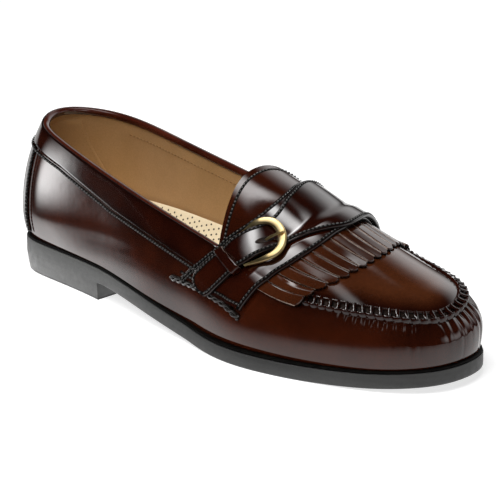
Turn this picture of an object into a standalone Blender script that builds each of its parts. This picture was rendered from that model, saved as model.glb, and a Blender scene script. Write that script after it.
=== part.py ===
"""Right-foot buckle loafer: moccasin upper, layered sole, fringed kiltie, saddle and buckled strap.

The toe points along +X, the outer (lateral) side of the foot is -Y, and the floor is Z = 0.
Sizes are in millimetres and are scaled to metres when a mesh is made.
"""

import math
from collections import namedtuple

import bmesh
import bpy
import numpy as np

MM = 0.001
GAP = 0.3  # clearance between pieces that touch
LAYER_GAP = 0.45  # the same, between curved layers

# Driving dimensions of the last and of the sole
SOLE_LENGTH = 297.0
BALL_WIDTH = 101.0
INSTEP_HEIGHT = 86.0
HEEL_HEIGHT = 9.4  # heel block, floor to the underside of the outsole at the breast
HEEL_BACK_RISE = 0.8  # the seat is this much higher at the back
HEEL_LENGTH = 74.0
HEEL_TAPER = 1.4
TOE_SPRING = 4.5
TREAD_START, TREAD_END = 184.0, 222.0  # the flat part of the forefoot
OUTSOLE_THICK = 7.3
WELT_THICK = 1.5
WELT_STEP = 0.5
INSOLE_CLEAR = 0.6
INSOLE_THICK = 6.0
ARCH_CUP, SIDE_CUP = 16.0, 2.0  # how far the insole turns up at the inner arch and elsewhere
ARCH_MIDDLE, ARCH_BEHIND, ARCH_AHEAD = 112.0, 75.0, 36.0  # where the arch is highest, and its spread
UPPER_WALL = 2.0
SEAM_RIDGE = 2.2  # height of the gathered seam round the apron
SEAM_REACH = 3.4  # half the seam's width
SEAM_START, SEAM_FULL = 0.22, 0.42  # where the ridge begins and is full, along the apron
THROAT_X = 169.0
THROAT_BOW = 9.0  # how far the tongue edge reaches back at the middle
PLUG_ROUNDNESS = 2.3
WALL_ROLL = 2.1
CROWD_GAIN, CROWD_REACH = 1.6, 0.16  # how rows of points crowd round an edge

# Thicknesses of the pieces laid on the upper
BAND_THICK, STAY_THICK = 1.2, 1.0
KILTIE_THICK, SADDLE_THICK, STRAP_THICK = 1.2, 1.5, 1.6

# The wall, station by station round the shoe. along and across are shares of SOLE_LENGTH and BALL_WIDTH
# and give the sole's edge; insets run inwards from that edge; rim_height is above the floor.
Station = namedtuple("Station", "along across feather belly belly_height rim rim_height")
WALL = {
    "back": Station(0.000, 0.030, 2.0, -0.4, 14, 11.0, 82.0),
    "lateral_heel_round": Station(0.030, -0.174, 2.0, -0.4, 14, 10.5, 80.0),
    "lateral_heel": Station(0.108, -0.240, 1.6, 0.0, 13, 7.0, 75.6),
    "lateral_breast": Station(0.249, -0.290, 1.2, 0.4, 12, 5.0, 67.5),
    "lateral_waist": Station(0.397, -0.383, 1.3, 0.8, 12, 6.5, 61.5),
    "lateral_joint_rear": Station(0.522, -0.452, 2.3, 0.8, 12, 9.0, 55.8),
    "lateral_joint": Station(0.633, -0.508, 2.9, 0.5, 11, 11.0, 50.0),
    "lateral_tread": Station(0.734, -0.481, 2.6, 0.5, 11, 10.5, 41.3),
    "lateral_toe_side": Station(0.832, -0.404, 2.2, 0.5, 11, 10.0, 38.7),
    "lateral_toe": Station(0.921, -0.298, 1.8, 0.5, 11, 10.0, 37.8),
    "lateral_toe_corner": Station(0.986, -0.127, 1.8, 0.5, 10, 10.0, 36.4),
    "toe_tip": Station(1.000, 0.057, 1.8, 0.5, 10, 10.0, 37.2),
    "medial_toe_corner": Station(0.982, 0.238, 1.8, 0.5, 11, 10.5, 39.8),
    "medial_toe": Station(0.933, 0.371, 2.0, 0.5, 11, 11.0, 42.2),
    "medial_tread": Station(0.835, 0.465, 2.4, 0.5, 12, 13.0, 44.8),
    "medial_joint": Station(0.721, 0.495, 2.4, 0.5, 12, 14.0, 49.0),
    "medial_joint_rear": Station(0.593, 0.436, 2.0, 0.8, 13, 10.0, 56.5),
    "medial_waist": Station(0.438, 0.327, 1.5, 0.8, 14, 3.0, 66.0),
    "medial_breast": Station(0.263, 0.317, 1.5, 0.8, 13, 3.0, 74.3),
    "medial_heel": Station(0.115, 0.362, 1.6, 0.0, 13, 7.0, 78.5),
    "medial_heel_round": Station(0.030, 0.238, 2.0, -0.4, 14, 10.0, 81.3),
}

# The ridge line of the apron from the tongue to the toe: height as a share of INSTEP_HEIGHT
Crest = namedtuple("Crest", "along height")
CREST = [
    Crest(0.538, 1.000),
    Crest(0.616, 0.906),
    Crest(0.680, 0.812),
    Crest(0.727, 0.759),
    Crest(0.791, 0.676),
    Crest(0.848, 0.606),
    Crest(0.902, 0.541),
    Crest(0.943, 0.489),
    Crest(0.966, 0.445),
]

# Edges of the pieces that cross the instep. across runs from -2 at the outer feather line, through -1 at
# the outer rim, 0 on the ridge line and +1 at the inner rim, to +2; rear and front are along the foot.
Edge = namedtuple("Edge", "across rear front")
SADDLE = [
    Edge(-1.50, 150.0, 198.5),
    Edge(-1.30, 158.5, 201.5),
    Edge(-1.05, 168.8, 205.5),
    Edge(-0.93, 173.5, 208.7),
    Edge(-0.79, 179.5, 213.4),
    Edge(-0.62, 184.0, 217.5),
    Edge(-0.42, 186.0, 220.0),
    Edge(-0.15, 185.5, 220.4),
    Edge(0.15, 182.5, 219.7),
    Edge(0.42, 180.0, 216.5),
    Edge(0.62, 178.5, 213.0),
    Edge(0.79, 176.5, 210.0),
    Edge(0.93, 173.5, 207.5),
    Edge(1.05, 168.8, 205.0),
    Edge(1.30, 158.5, 201.0),
    Edge(1.50, 150.0, 198.0),
]
SADDLE_RISE = 0.08  # the lower edge climbs towards the front by this share of its depth
STRAP = [
    Edge(-1.52, 168.0, 172.8),
    Edge(-1.50, 166.0, 174.5),
    Edge(-1.46, 163.5, 177.0),
    Edge(-1.40, 162.3, 179.3),
    Edge(-1.21, 167.7, 185.8),
    Edge(-1.07, 173.0, 190.2),
    Edge(-0.94, 179.0, 195.2),
    Edge(-0.79, 185.0, 201.0),
    Edge(-0.65, 190.0, 206.0),
    Edge(-0.48, 191.8, 211.0),
    Edge(-0.20, 188.9, 217.5),
    Edge(0.05, 186.0, 221.0),
    Edge(0.26, 183.2, 220.0),
    Edge(0.50, 181.0, 216.5),
    Edge(0.79, 178.0, 211.5),
    Edge(0.95, 174.5, 208.5),
    Edge(1.05, 170.3, 206.5),
    Edge(1.24, 162.5, 203.5),
]
# Depth of the collar band below the rim, as a share of the wall
Depth = namedtuple("Depth", "along share")
BAND = [Depth(-1.0, 0.17), Depth(-0.7, 0.19), Depth(-0.45, 0.28), Depth(0.0, 0.30)]
STAY_WIDTH = 57.0  # the counter round the heel's back

KILTIE_TUCK = 5.0  # length under the saddle
KILTIE_LENGTH = 23.3
KILTIE_REACH = 1.14  # across, each way
KILTIE_STRIPS = 17
KILTIE_SLIT = 0.6
KILTIE_LIFT = 1.6  # of the free ends
KILTIE_ROUND = 1.8

# The buckle lies where the strap crosses the outer instep; places are (along, across)
BUCKLE_BAR_AT, BUCKLE_END_AT = (187.5, -0.93), (202.8, -0.585)
BUCKLE_WIDTH = 21.0
BUCKLE_BEND = 11.0
FRAME_WIDE, FRAME_NARROW, FRAME_HIGH, BAR_THICK = 3.9, 2.3, 2.2, 1.8
BAR_HEIGHT, FRAME_END_HEIGHT = 1.7, 4.3  # of the frame's middle line, above the saddle
FRAME_CURVE = 0.6  # how much of the instep's curve the frame follows
PRONG_RADIUS = 0.8
STRAP_BAR_LIFT, STRAP_BAR_SPREAD = 3.3, 4.2  # the hump where the strap passes over the bar
SLOT_REAR, SLOT_FRONT, SLOT_HALF = -1.5, 14.5, 2.0  # from the bar, along the strap, and half the width
# The keeper crosses the strap aslant: across at its two ends, for its rear and front edges
KEEPER_UPPER, KEEPER_LOWER = (-1.055, -0.980), (-1.140, -1.048)
KEEPER_THICK, KEEPER_CLEAR, KEEPER_FOOT, KEEPER_CROWN = 1.1, 0.5, 0.4, 0.3
KEEPER_STRAP = 16.0  # the strap's width there

COLOURS = {
    "leather": ((0.055, 0.014, 0.008), 0.25, 0.0),
    "sole": ((0.075, 0.075, 0.073), 0.55, 0.0),
    "welt": ((0.006, 0.005, 0.005), 0.40, 0.0),
    "lining": ((0.62, 0.50, 0.34), 0.60, 0.0),
    "brass": ((0.85, 0.63, 0.28), 0.18, 1.0),
}


# Interpolation

def hermite(knots, values, slopes, at):
    """Cubic through values with the given slopes, read at each place in at."""
    i = np.clip(np.searchsorted(knots, at, side="right") - 1, 0, len(knots) - 2)
    step = knots[i + 1] - knots[i]
    f = (at - knots[i]) / step
    return (
        values[i] * (1 + 2 * f) * (1 - f) ** 2
        + values[i + 1] * f * f * (3 - 2 * f)
        + slopes[i] * step * f * (1 - f) ** 2
        - slopes[i + 1] * step * f * f * (1 - f)
    )


def open_curve(knots, values):
    """A smooth function through a short table."""
    knots, values = np.asarray(knots, float), np.asarray(values, float)
    slopes = np.gradient(values, knots)
    return lambda at: hermite(knots, values, slopes, np.clip(at, knots[0], knots[-1]))


def closed_curve(knots, values):
    """A periodic cubic spline with continuous curvature; knots has one more entry than values."""
    values = np.asarray(values, float)
    count = len(values)
    step = np.diff(knots)
    before, after = np.roll(step, 1), step
    rise_before = (values - np.roll(values, 1)) / before
    rise_after = (np.roll(values, -1) - values) / after
    matrix = np.zeros((count, count))
    for i in range(count):
        matrix[i, i - 1] += after[i]
        matrix[i, i] += 2 * (before[i] + after[i])
        matrix[i, (i + 1) % count] += before[i]
    slopes = np.linalg.solve(matrix, 3 * (after * rise_before + before * rise_after))
    values, slopes = np.append(values, values[0]), np.append(slopes, slopes[0])
    return lambda at: hermite(knots, values, slopes, np.mod(at, knots[-1]))


def smooth_step(value, low, high):
    f = np.clip((value - low) / (high - low), 0, 1)
    return f * f * (3 - 2 * f)


# The sole's edge, and how the wall's columns run round it

def edge_points():
    return np.array([(s.along * SOLE_LENGTH, s.across * BALL_WIDTH) for s in WALL.values()])


def edge_knots():
    points = edge_points()
    chords = np.linalg.norm(np.roll(points, -1, axis=0) - points, axis=1)
    return np.concatenate([[0], np.cumsum(np.sqrt(chords))])


KNOTS = edge_knots()
EDGE_X, EDGE_Y = (closed_curve(KNOTS, column) for column in edge_points().T)
PROFILE = {
    name: closed_curve(KNOTS, [getattr(s, name) for s in WALL.values()])
    for name in ("feather", "belly", "belly_height", "rim", "rim_height")
}
FINE = np.linspace(0, KNOTS[-1], 4001)
FINE_X, FINE_Y = EDGE_X(FINE), EDGE_Y(FINE)
FINE_ARC = np.concatenate([[0], np.cumsum(np.hypot(np.diff(FINE_X), np.diff(FINE_Y)))])
TOE = KNOTS[list(WALL).index("toe_tip")]
TOE_ARC = np.interp(TOE, FINE, FINE_ARC)


def throat_arc(lateral):
    """Arc length round the sole's edge to the throat, on one side."""
    side = FINE <= TOE if lateral else FINE >= TOE
    x, arc = FINE_X[side], FINE_ARC[side]
    order = np.argsort(x)
    return np.interp(THROAT_X, x[order], arc[order])


def column(along, lateral):
    """The place on the sole's edge of a column of the wall: along is -1 at the heel's back, 0 at the
    throat and 1 at the toe."""
    start = 0 if lateral else FINE_ARC[-1]
    arc = np.interp(along, [-1, 0, 1], [start, throat_arc(lateral), TOE_ARC])
    return np.interp(arc, FINE_ARC, FINE)


def inset_point(place, inset):
    """A point inwards from the sole's edge, in plan."""
    nudge = 0.01
    dx = EDGE_X(place + nudge) - EDGE_X(place - nudge)
    dy = EDGE_Y(place + nudge) - EDGE_Y(place - nudge)
    length = np.hypot(dx, dy)
    return EDGE_X(place) - dy / length * inset, EDGE_Y(place) + dx / length * inset


def sole_under(x):
    """Height of the outsole's underside: heel seat, arch, flat tread and toe spring."""
    seat = HEEL_HEIGHT + HEEL_BACK_RISE * np.clip(1 - x / HEEL_LENGTH, 0, 1)
    fall = np.clip((TREAD_START - x) / (TREAD_START - HEEL_LENGTH), 0, 1)
    arch = HEEL_HEIGHT * (0.45 * fall + 0.55 * fall * fall * (3 - 2 * fall)) * np.minimum(1, fall * 4)
    spring = TOE_SPRING * np.clip((x - TREAD_END) / (SOLE_LENGTH - TREAD_END), 0, 1) ** 2
    return np.where(x < HEEL_LENGTH, seat, arch + spring)


def feather_height(x):
    return sole_under(x) + OUTSOLE_THICK + WELT_THICK + 2 * GAP


# The upper's form

CREST_HEIGHT = open_curve([c.along * SOLE_LENGTH for c in CREST], [c.height * INSTEP_HEIGHT for c in CREST])


def wall_point(along, across):
    """The wall between the feather line (across 2 either side) and the rim (across 1)."""
    place = np.where(across < 0, column(along, True), column(along, False))
    share = np.clip(2 - np.abs(across), 0, 1)
    x0, y0 = inset_point(place, PROFILE["feather"](place))
    foot = feather_height(x0)
    rim_height = PROFILE["rim_height"](place)
    belly_share = PROFILE["belly_height"](place) / (rim_height - foot)
    above = np.clip((share - belly_share) / (1 - belly_share), 0, 1)
    below = np.clip((belly_share - share) / belly_share, 0, 1)
    belly = PROFILE["belly"](place)
    inset = belly + (PROFILE["rim"](place) - belly) * above**WALL_ROLL
    inset = inset + (PROFILE["feather"](place) - belly) * below**2
    x, y = inset_point(place, inset)
    return np.stack([x, y, foot + (rim_height - foot) * share], -1)


def plug_point(along, across):
    """The apron between the two rims, arched up to the ridge line."""
    outer, inner = wall_point(along, -np.ones_like(along)), wall_point(along, np.ones_like(along))
    share = (across[..., None] + 1) / 2
    chord = outer + (inner - outer) * share
    arch = 1 - np.abs(across) ** PLUG_ROUNDNESS
    middle = (outer + inner) / 2
    bow = THROAT_BOW * np.clip(1 - along / 0.6, 0, 1) ** 1.5
    height = CREST_HEIGHT(middle[..., 0] - bow) - middle[..., 2]
    chord[..., 0] -= bow * (1 - across**2)
    chord[..., 2] += np.maximum(height, 0) * arch
    return chord


def form(along, across):
    """The smooth outside of the upper."""
    along, across = np.broadcast_arrays(np.asarray(along, float), np.asarray(across, float))
    on_plug = (np.abs(across) < 1)[..., None]
    return np.where(on_plug, plug_point(np.maximum(along, 0), across), wall_point(along, across))


def form_normal(along, across):
    """Outward normals of the form, by small differences taken towards its inside."""
    along, across = np.broadcast_arrays(np.asarray(along, float), np.asarray(across, float))
    d = 0.004
    a0, a1 = np.clip(along - d, -1, 1 - 2 * d), np.clip(along + d, 2 * d - 1, 1)
    on_plug = np.abs(across) < 1
    a0, a1 = np.where(on_plug, np.maximum(a0, 0), a0), np.where(on_plug, np.maximum(a1, 2 * d), a1)
    c0, c1 = np.clip(across - d, -2, 2 - 2 * d), np.clip(across + d, 2 * d - 2, 2)
    outer, inner = (along <= 0) & (across <= -1), (along <= 0) & (across >= 1)
    c0, c1 = np.where(inner, np.maximum(c0, 1), c0), np.where(outer, np.minimum(c1, -1), c1)
    run = form(a1, across) - form(a0, across)
    over = form(np.minimum(along, 1 - d), c1) - form(np.minimum(along, 1 - d), c0)
    normal = np.cross(run, over)
    normal = normal / np.linalg.norm(normal, axis=-1, keepdims=True)
    return normal


def rim_points():
    along, side = np.meshgrid(np.linspace(0, 1, 240), [-1.0, 1.0])
    return wall_point(along, side).reshape(-1, 3)


RIM = rim_points()


def seam_ridge(along, across):
    """Height of the gathered seam that stands up round the apron."""
    points = form(along, across)
    away = np.sqrt(np.min(np.sum((points[..., None, :] - RIM) ** 2, axis=-1), axis=-1))
    return SEAM_RIDGE * smooth_step(along, SEAM_START, SEAM_FULL) * smooth_step(-away, -SEAM_REACH, 0)


def skin(along, across, height=0.0):
    """A point at a height above the upper's outside, the seam ridge included."""
    rise = seam_ridge(along, across) + height
    return form(along, across) + form_normal(along, across) * rise[..., None]


def along_at(x, across):
    """The along value where the form reaches x, at one across value."""
    grid = np.linspace(0 if abs(across) < 1 else -1, 0.999, 400)
    return np.interp(x, form(grid, np.full_like(grid, across))[..., 0], grid)


# Meshes

def spread(low, high, count, focus):
    """Values from low to high that crowd round each place in focus, and hold that place itself."""
    fine = np.linspace(low, high, 800)
    density = 1 + sum(CROWD_GAIN * np.exp(-(((fine - place) / CROWD_REACH) ** 2)) for place in focus)
    total = np.concatenate([[0], np.cumsum(density[1:] + density[:-1])])
    values = np.interp(np.linspace(0, total[-1], count), total, fine)
    for place in focus:
        values[np.argmin(np.abs(values - place))] = place
    return values


def grid_faces(rows, columns):
    return [
        (r * columns + c, r * columns + c + 1, (r + 1) * columns + c + 1, (r + 1) * columns + c)
        for r in range(rows - 1)
        for c in range(columns - 1)
    ]


def add_solid(name, colour, grids, smooth_angle=40):
    """One closed object from grids of points that share their borders."""
    shape = bmesh.new()
    for grid in grids:
        rows, columns, _ = grid.shape
        made = [shape.verts.new(p * MM) for p in grid.reshape(-1, 3)]
        for face in grid_faces(rows, columns):
            shape.faces.new([made[i] for i in face])
    bmesh.ops.remove_doubles(shape, verts=shape.verts, dist=0.005 * MM)
    bmesh.ops.dissolve_degenerate(shape, edges=shape.edges, dist=0.001 * MM)
    bmesh.ops.triangulate(shape, faces=shape.faces)
    bmesh.ops.recalc_face_normals(shape, faces=shape.faces)
    mesh = bpy.data.meshes.new(name)
    shape.to_mesh(mesh)
    shape.free()
    mesh.shade_smooth()
    mesh.set_sharp_from_angle(angle=math.radians(smooth_angle))
    mesh.materials.append(material(colour))
    solid = bpy.data.objects.new(name, mesh)
    bpy.context.scene.collection.objects.link(solid)
    return solid


def material(colour):
    if colour in bpy.data.materials:
        return bpy.data.materials[colour]
    rgb, roughness, metallic = COLOURS[colour]
    made = bpy.data.materials.new(colour)
    made.use_nodes = True
    shader = made.node_tree.nodes["Principled BSDF"]
    shader.inputs["Base Color"].default_value = (*rgb, 1)
    shader.inputs["Roughness"].default_value = roughness
    shader.inputs["Metallic"].default_value = metallic
    return made


def slab(top, bottom):
    """The grids that close two matching grids of points into a solid."""
    walls = [np.stack([top[i], bottom[i]]) for i in (0, -1)]
    walls += [np.stack([top[:, i], bottom[:, i]]) for i in (0, -1)]
    return [top, bottom, *walls]


def ring(rows):
    """A grid whose rows are closed loops."""
    grid = np.stack(rows)
    return np.concatenate([grid, grid[:, :1]], axis=1)


# The upper

def upper_sheets(along, across):
    """The outside and the inside of the upper's wall."""
    a, c = np.meshgrid(along, across, indexing="ij")
    return skin(a, c), form(a, c) - form_normal(a, c) * UPPER_WALL


def make_upper():
    rear, front = np.linspace(-1, 0, 17), np.linspace(0, 1, 23)
    along = np.concatenate([rear, front[1:]])
    across = spread(1, 2, 9, (1,))[::-1]
    lateral, medial = upper_sheets(along, -across), upper_sheets(along, across)
    plug = upper_sheets(front, spread(-1, 1, 13, (-1, 1)))
    throat = len(rear) - 1
    for outer, inner, top in zip(lateral, medial, plug):
        inner[[0, -1]] = outer[[0, -1]]
        top[:, 0], top[:, -1] = outer[throat:, -1], inner[throat:, -1]
        top[-1] = outer[-1, -1]
    grids = [*plug, np.stack([sheet[0] for sheet in plug])]
    for outside, inside in (lateral, medial):
        inside[:, 0, 2] = outside[:, 0, 2]
        grids += [outside, inside]
        grids.append(np.stack([outside[:, 0], inside[:, 0]]))
        grids.append(np.stack([outside[: throat + 1, -1], inside[: throat + 1, -1]]))
    return add_solid("upper", "leather", grids, 50)


# The sole

def loop_places(count):
    """Places evenly round the sole's edge."""
    return np.interp(np.linspace(0, FINE_ARC[-1], count, endpoint=False), FINE_ARC, FINE)


def paired_places(count):
    """Matching places on the lateral and the medial edge, from the heel's back to the toe."""
    along = np.sin(np.linspace(-math.pi / 2, math.pi / 2, count))
    return column(along, True), column(along, False)


def sole_sheet(inset, height, count):
    """Rows across the sole between its two edges, at a height over the underside."""
    rows = []
    for lateral, medial in zip(*paired_places(count)):
        ends = [np.array(inset_point(p, inset)) for p in (lateral, medial)]
        rows.append([(x, y, sole_under(np.array(x)) + height) for x, y in ends])
    return np.array(rows, float)


def sole_side(levels, count):
    """The side of a sole layer, both edges, through (inset, height) levels."""
    sheets = [sole_sheet(inset, height, count) for inset, height in levels]
    return [np.stack([s[:, i] for s in sheets]) for i in (0, 1)]


def make_outsole():
    count = 61
    levels = [(1.0, 0.0), (0.1, 0.9), (0.0, 2.8), (0.1, OUTSOLE_THICK - 0.7), (0.7, OUTSOLE_THICK)]
    bottom, top = sole_sheet(*levels[0], count), sole_sheet(*levels[-1], count)
    return add_solid("outsole", "sole", [bottom, top, *sole_side(levels, count)], 35)


def make_welt():
    places = loop_places(96)
    base = OUTSOLE_THICK + GAP
    edge_inner = PROFILE["feather"](places) + UPPER_WALL
    profile = [
        (WELT_STEP + 0.3, 0.0),
        (WELT_STEP, 0.4),
        (WELT_STEP, WELT_THICK - 0.5),
        (WELT_STEP + 0.4, WELT_THICK),
    ]
    rows = []
    for inset, height in profile:
        x, y = inset_point(places, inset)
        rows.append(np.stack([x, y, sole_under(x) + base + height], -1))
    for height in (WELT_THICK, 0.0):
        x, y = inset_point(places, edge_inner)
        rows.append(np.stack([x, y, sole_under(x) + base + height], -1))
    return add_solid("welt", "welt", [ring(rows + rows[:1])], 40)


def make_insole():
    count, across = 33, np.linspace(-1, 1, 11)
    lateral, medial = paired_places(count)
    ends = []
    for place in (lateral, medial):
        inset = PROFILE["feather"](place) + UPPER_WALL + INSOLE_CLEAR
        ends.append(np.stack(inset_point(place, inset), -1))
    share = (across + 1)[None, :, None] / 2
    plan = ends[0][:, None] * (1 - share) + ends[1][:, None] * share
    base = sole_under(plan[..., 0]) + OUTSOLE_THICK + GAP
    past = plan[..., 0] - ARCH_MIDDLE
    arch = np.exp(-((past / np.where(past < 0, ARCH_BEHIND, ARCH_AHEAD)) ** 2))
    width = np.linalg.norm(ends[1] - ends[0], axis=1)[:, None]
    cup = np.where(across > 0, SIDE_CUP + (ARCH_CUP - SIDE_CUP) * arch, SIDE_CUP) * np.abs(across) ** 3
    cup = cup * smooth_step(width, 0, 45)
    under = np.concatenate([plan, base[..., None]], -1)
    over = np.concatenate([plan, (base + INSOLE_THICK + cup)[..., None]], -1)
    return add_solid("insole", "lining", slab(over, under))


def make_heel():
    sides = np.linspace(-1, 1, 31)
    breast = np.interp(HEEL_LENGTH - GAP, FINE_X[FINE <= TOE], FINE[FINE <= TOE])
    medial = FINE >= TOE
    breast_medial = np.interp(-(HEEL_LENGTH - GAP), -FINE_X[medial], FINE[medial]) - KNOTS[-1]
    places = np.interp(sides, [-1, 0, 1], [breast_medial, 0, breast])
    sheets = []
    for inset, share in ((HEEL_TAPER + 0.8, 0.0), (HEEL_TAPER, 0.08), (0.4, 0.8), (0.2, 1.0)):
        taper = 0.2 + (inset - 0.2) * (1 - 0.75 * np.abs(sides))
        x, y = inset_point(places, taper)
        z = (sole_under(x) - GAP) * share
        sheets.append(np.stack([x, y, z], -1))
    half = len(sides) // 2
    caps = [np.stack([s[half::-1], s[half:]], 1) for s in (sheets[0], sheets[-1])]
    side = np.stack(sheets)
    front = np.stack([side[:, 0], side[:, -1]], 1)
    return add_solid("heel", "sole", [*caps, side, front], 35)


# Pieces laid on the upper

def edge_curves(table):
    across = [e.across for e in table]
    return open_curve(across, [e.rear for e in table]), open_curve(across, [e.front for e in table])


SADDLE_REAR, SADDLE_FRONT = edge_curves(SADDLE)
STRAP_REAR, STRAP_FRONT = edge_curves(STRAP)


def saddle_low(x, across):
    """Underside of the saddle above the skin: it rises over the kiltie that is tucked below its front."""
    front = SADDLE_FRONT(across)
    rise = smooth_step(x, front - KILTIE_TUCK - 10, front - KILTIE_TUCK - 2)
    return LAYER_GAP + (KILTIE_THICK + LAYER_GAP) * rise


def cross_grid(across, rear, front, shares, rise=0.0):
    """(along, across, x) grids of a piece that lies between two edges; rise draws the lower edge up at
    the front."""
    x = rear[:, None] + (front - rear)[:, None] * shares
    c = np.repeat(across[:, None], len(shares), axis=1)
    low = np.abs(c) > 1
    c = np.where(low, np.sign(c) * (1 + (np.abs(c) - 1) * (1 - rise * shares)), c)
    a = np.array([[along_at(one, w) for one, w in zip(*rows)] for rows in zip(x, c)])
    return a, c, x


def make_saddle():
    across = spread(SADDLE[0].across, SADDLE[-1].across, 29, (-1, 1))
    shares = np.linspace(0, 1, 9)
    a, c, x = cross_grid(across, SADDLE_REAR(across), SADDLE_FRONT(across), shares, SADDLE_RISE)
    low = saddle_low(x, c)
    return add_solid("saddle", "leather", slab(skin(a, c, low + SADDLE_THICK), skin(a, c, low)))


def saddle_top(at):
    """A point on the saddle's face, and the way out of it."""
    x, across = np.array(at[0], float), np.array(at[1], float)
    a = along_at(x, across)
    return skin(a, across, saddle_low(x, across) + SADDLE_THICK), form_normal(a, across)


def strap_frame(rear_at, front_at):
    """Two points on the saddle's face, and the directions along the strap, across it and out."""
    (rear, out_rear), (front, out_front) = saddle_top(rear_at), saddle_top(front_at)
    run = (front - rear) / np.linalg.norm(front - rear)
    out = out_rear + out_front
    out = out - run * (out @ run)
    out = out / np.linalg.norm(out)
    return rear, front, run, np.cross(out, run), out


def strap_low(a, c, x):
    """Height of the strap's underside above the last, with the hump over the buckle's bar."""
    bar, _, run, _, _ = strap_frame(BUCKLE_BAR_AT, BUCKLE_END_AT)
    past = (form(a, c) - bar) @ run
    hump = STRAP_BAR_LIFT * np.exp(-((past / STRAP_BAR_SPREAD) ** 2))
    return saddle_low(x, c) + SADDLE_THICK + LAYER_GAP + hump


def cell_middles(grid):
    return (grid[1:, 1:] + grid[1:, :-1] + grid[:-1, 1:] + grid[:-1, :-1]) / 4


def make_strap():
    tip, end = STRAP[0].across, STRAP[-1].across
    across = spread(tip, end, 31, (tip, -1, BUCKLE_BAR_AT[1], 1))
    shares = np.linspace(0, 1, 11)
    a, c, x = cross_grid(across, STRAP_REAR(across), STRAP_FRONT(across), shares)
    bar, _, run, side, _ = strap_frame(BUCKLE_BAR_AT, BUCKLE_END_AT)
    place = form(a, c) - bar
    past, aside = place @ run, place @ side
    low = strap_low(a, c, x)
    past, aside = cell_middles(past), cell_middles(aside)
    slot = (past > SLOT_REAR) & (past < SLOT_FRONT) & (np.abs(aside) < SLOT_HALF)
    top, bottom = skin(a, c, low + STRAP_THICK), skin(a, c, low)
    return add_solid("buckle_strap", "leather", masked_slab(top, bottom, ~slot))


def band_depth(along):
    return np.interp(along, [d.along for d in BAND], [d.share for d in BAND])


def make_collar_band():
    grids = []
    for side in (-1, 1):
        rows, levels = [], []
        for share in (0.0, 0.5, 1.0):
            depth = 1 + share * BAND[-1].share
            stop = along_at(SADDLE_REAR(side * depth) - 1.0, side * depth)
            rows.append(np.linspace(-1, min(stop, -0.004), 21))
            levels.append(1 + share * band_depth(rows[-1]))
        a, c = np.array(rows), side * np.array(levels)
        grids.append([skin(a, c, np.full_like(a, h)) for h in (LAYER_GAP + BAND_THICK, LAYER_GAP)])
    top, bottom = (np.concatenate([grids[0][i][:, ::-1], grids[1][i][:, 1:]], axis=1) for i in (0, 1))
    return add_solid("collar_band", "leather", slab(top, bottom))


def make_back_stay():
    reach = STAY_WIDTH / 2 / throat_arc(True)
    depth = np.array([1.015 + BAND[0].share, 1.4, 1.6, 1.8, 1.95])
    half = np.linspace(0, reach, 8) - 1
    sides = []
    for side in (-1, 1):
        a, c = np.meshgrid(half, side * depth, indexing="ij")
        sides.append([skin(a, c, np.full_like(a, h)) for h in (LAYER_GAP + STAY_THICK, LAYER_GAP)])
    top, bottom = (np.concatenate([sides[0][i][::-1], sides[1][i][1:]]) for i in (0, 1))
    return add_solid("back_stay", "leather", slab(top, bottom))


def masked_slab(top, bottom, present):
    """Grids for a slab whose absent cells are left open, with walls round every opening."""
    rows, columns = present.shape
    there = np.pad(present, 1)
    grids = []
    for r in range(rows):
        for c in range(columns):
            if not present[r, c]:
                continue
            cell = np.s_[r:r + 2, c:c + 2]
            grids += [top[cell], bottom[cell]]
            for beside, edge in (
                (there[r, c + 1], np.s_[r, c:c + 2]),
                (there[r + 2, c + 1], np.s_[r + 1, c:c + 2]),
                (there[r + 1, c], np.s_[r:r + 2, c]),
                (there[r + 1, c + 2], np.s_[r:r + 2, c + 1]),
            ):
                if not beside:
                    grids.append(np.stack([top[edge], bottom[edge]]))
    return grids


def arc_across(x, reach):
    """Across values and arc lengths along one section of the form."""
    across = np.linspace(-reach, reach, 241)
    points = np.array([form(along_at(x, w), w) for w in across])
    arc = np.concatenate([[0], np.cumsum(np.linalg.norm(np.diff(points, axis=0), axis=1))])
    return across, arc


def make_kiltie():
    across, arc = arc_across(SADDLE_FRONT(0.0), KILTIE_REACH)
    pitch = arc[-1] / KILTIE_STRIPS
    stations, ends, solid_cell = [], [], []
    for i in range(KILTIE_STRIPS):
        for share in (0.0, 0.5, 1.0):
            stations.append(i * pitch + KILTIE_SLIT / 2 + share * (pitch - KILTIE_SLIT))
            ends.append(0 if share == 0.5 else KILTIE_ROUND)
            solid_cell.append(share < 1.0)
    w = np.interp(stations, arc, across)
    rear = SADDLE_FRONT(w) - KILTIE_TUCK
    front = SADDLE_FRONT(w) + KILTIE_LENGTH - np.array(ends)
    share = np.array([0, 0.2, 0.45, 0.72, 1.0])
    x = rear[:, None] + (front - rear)[:, None] * share
    a = np.array([along_at(row, one) for row, one in zip(x, w)])
    c = np.repeat(w[:, None], len(share), axis=1)
    lift = LAYER_GAP + KILTIE_LIFT * np.clip(share - 0.2, 0, 1)[None] ** 2 + 0 * x
    present = np.ones((len(w) - 1, len(share) - 1), bool)
    present[~np.array(solid_cell[:-1]), 1:] = False
    top, bottom = skin(a, c, lift + KILTIE_THICK), skin(a, c, lift)
    return add_solid("kiltie", "leather", masked_slab(top, bottom, present))


# Buckle and keeper

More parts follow.
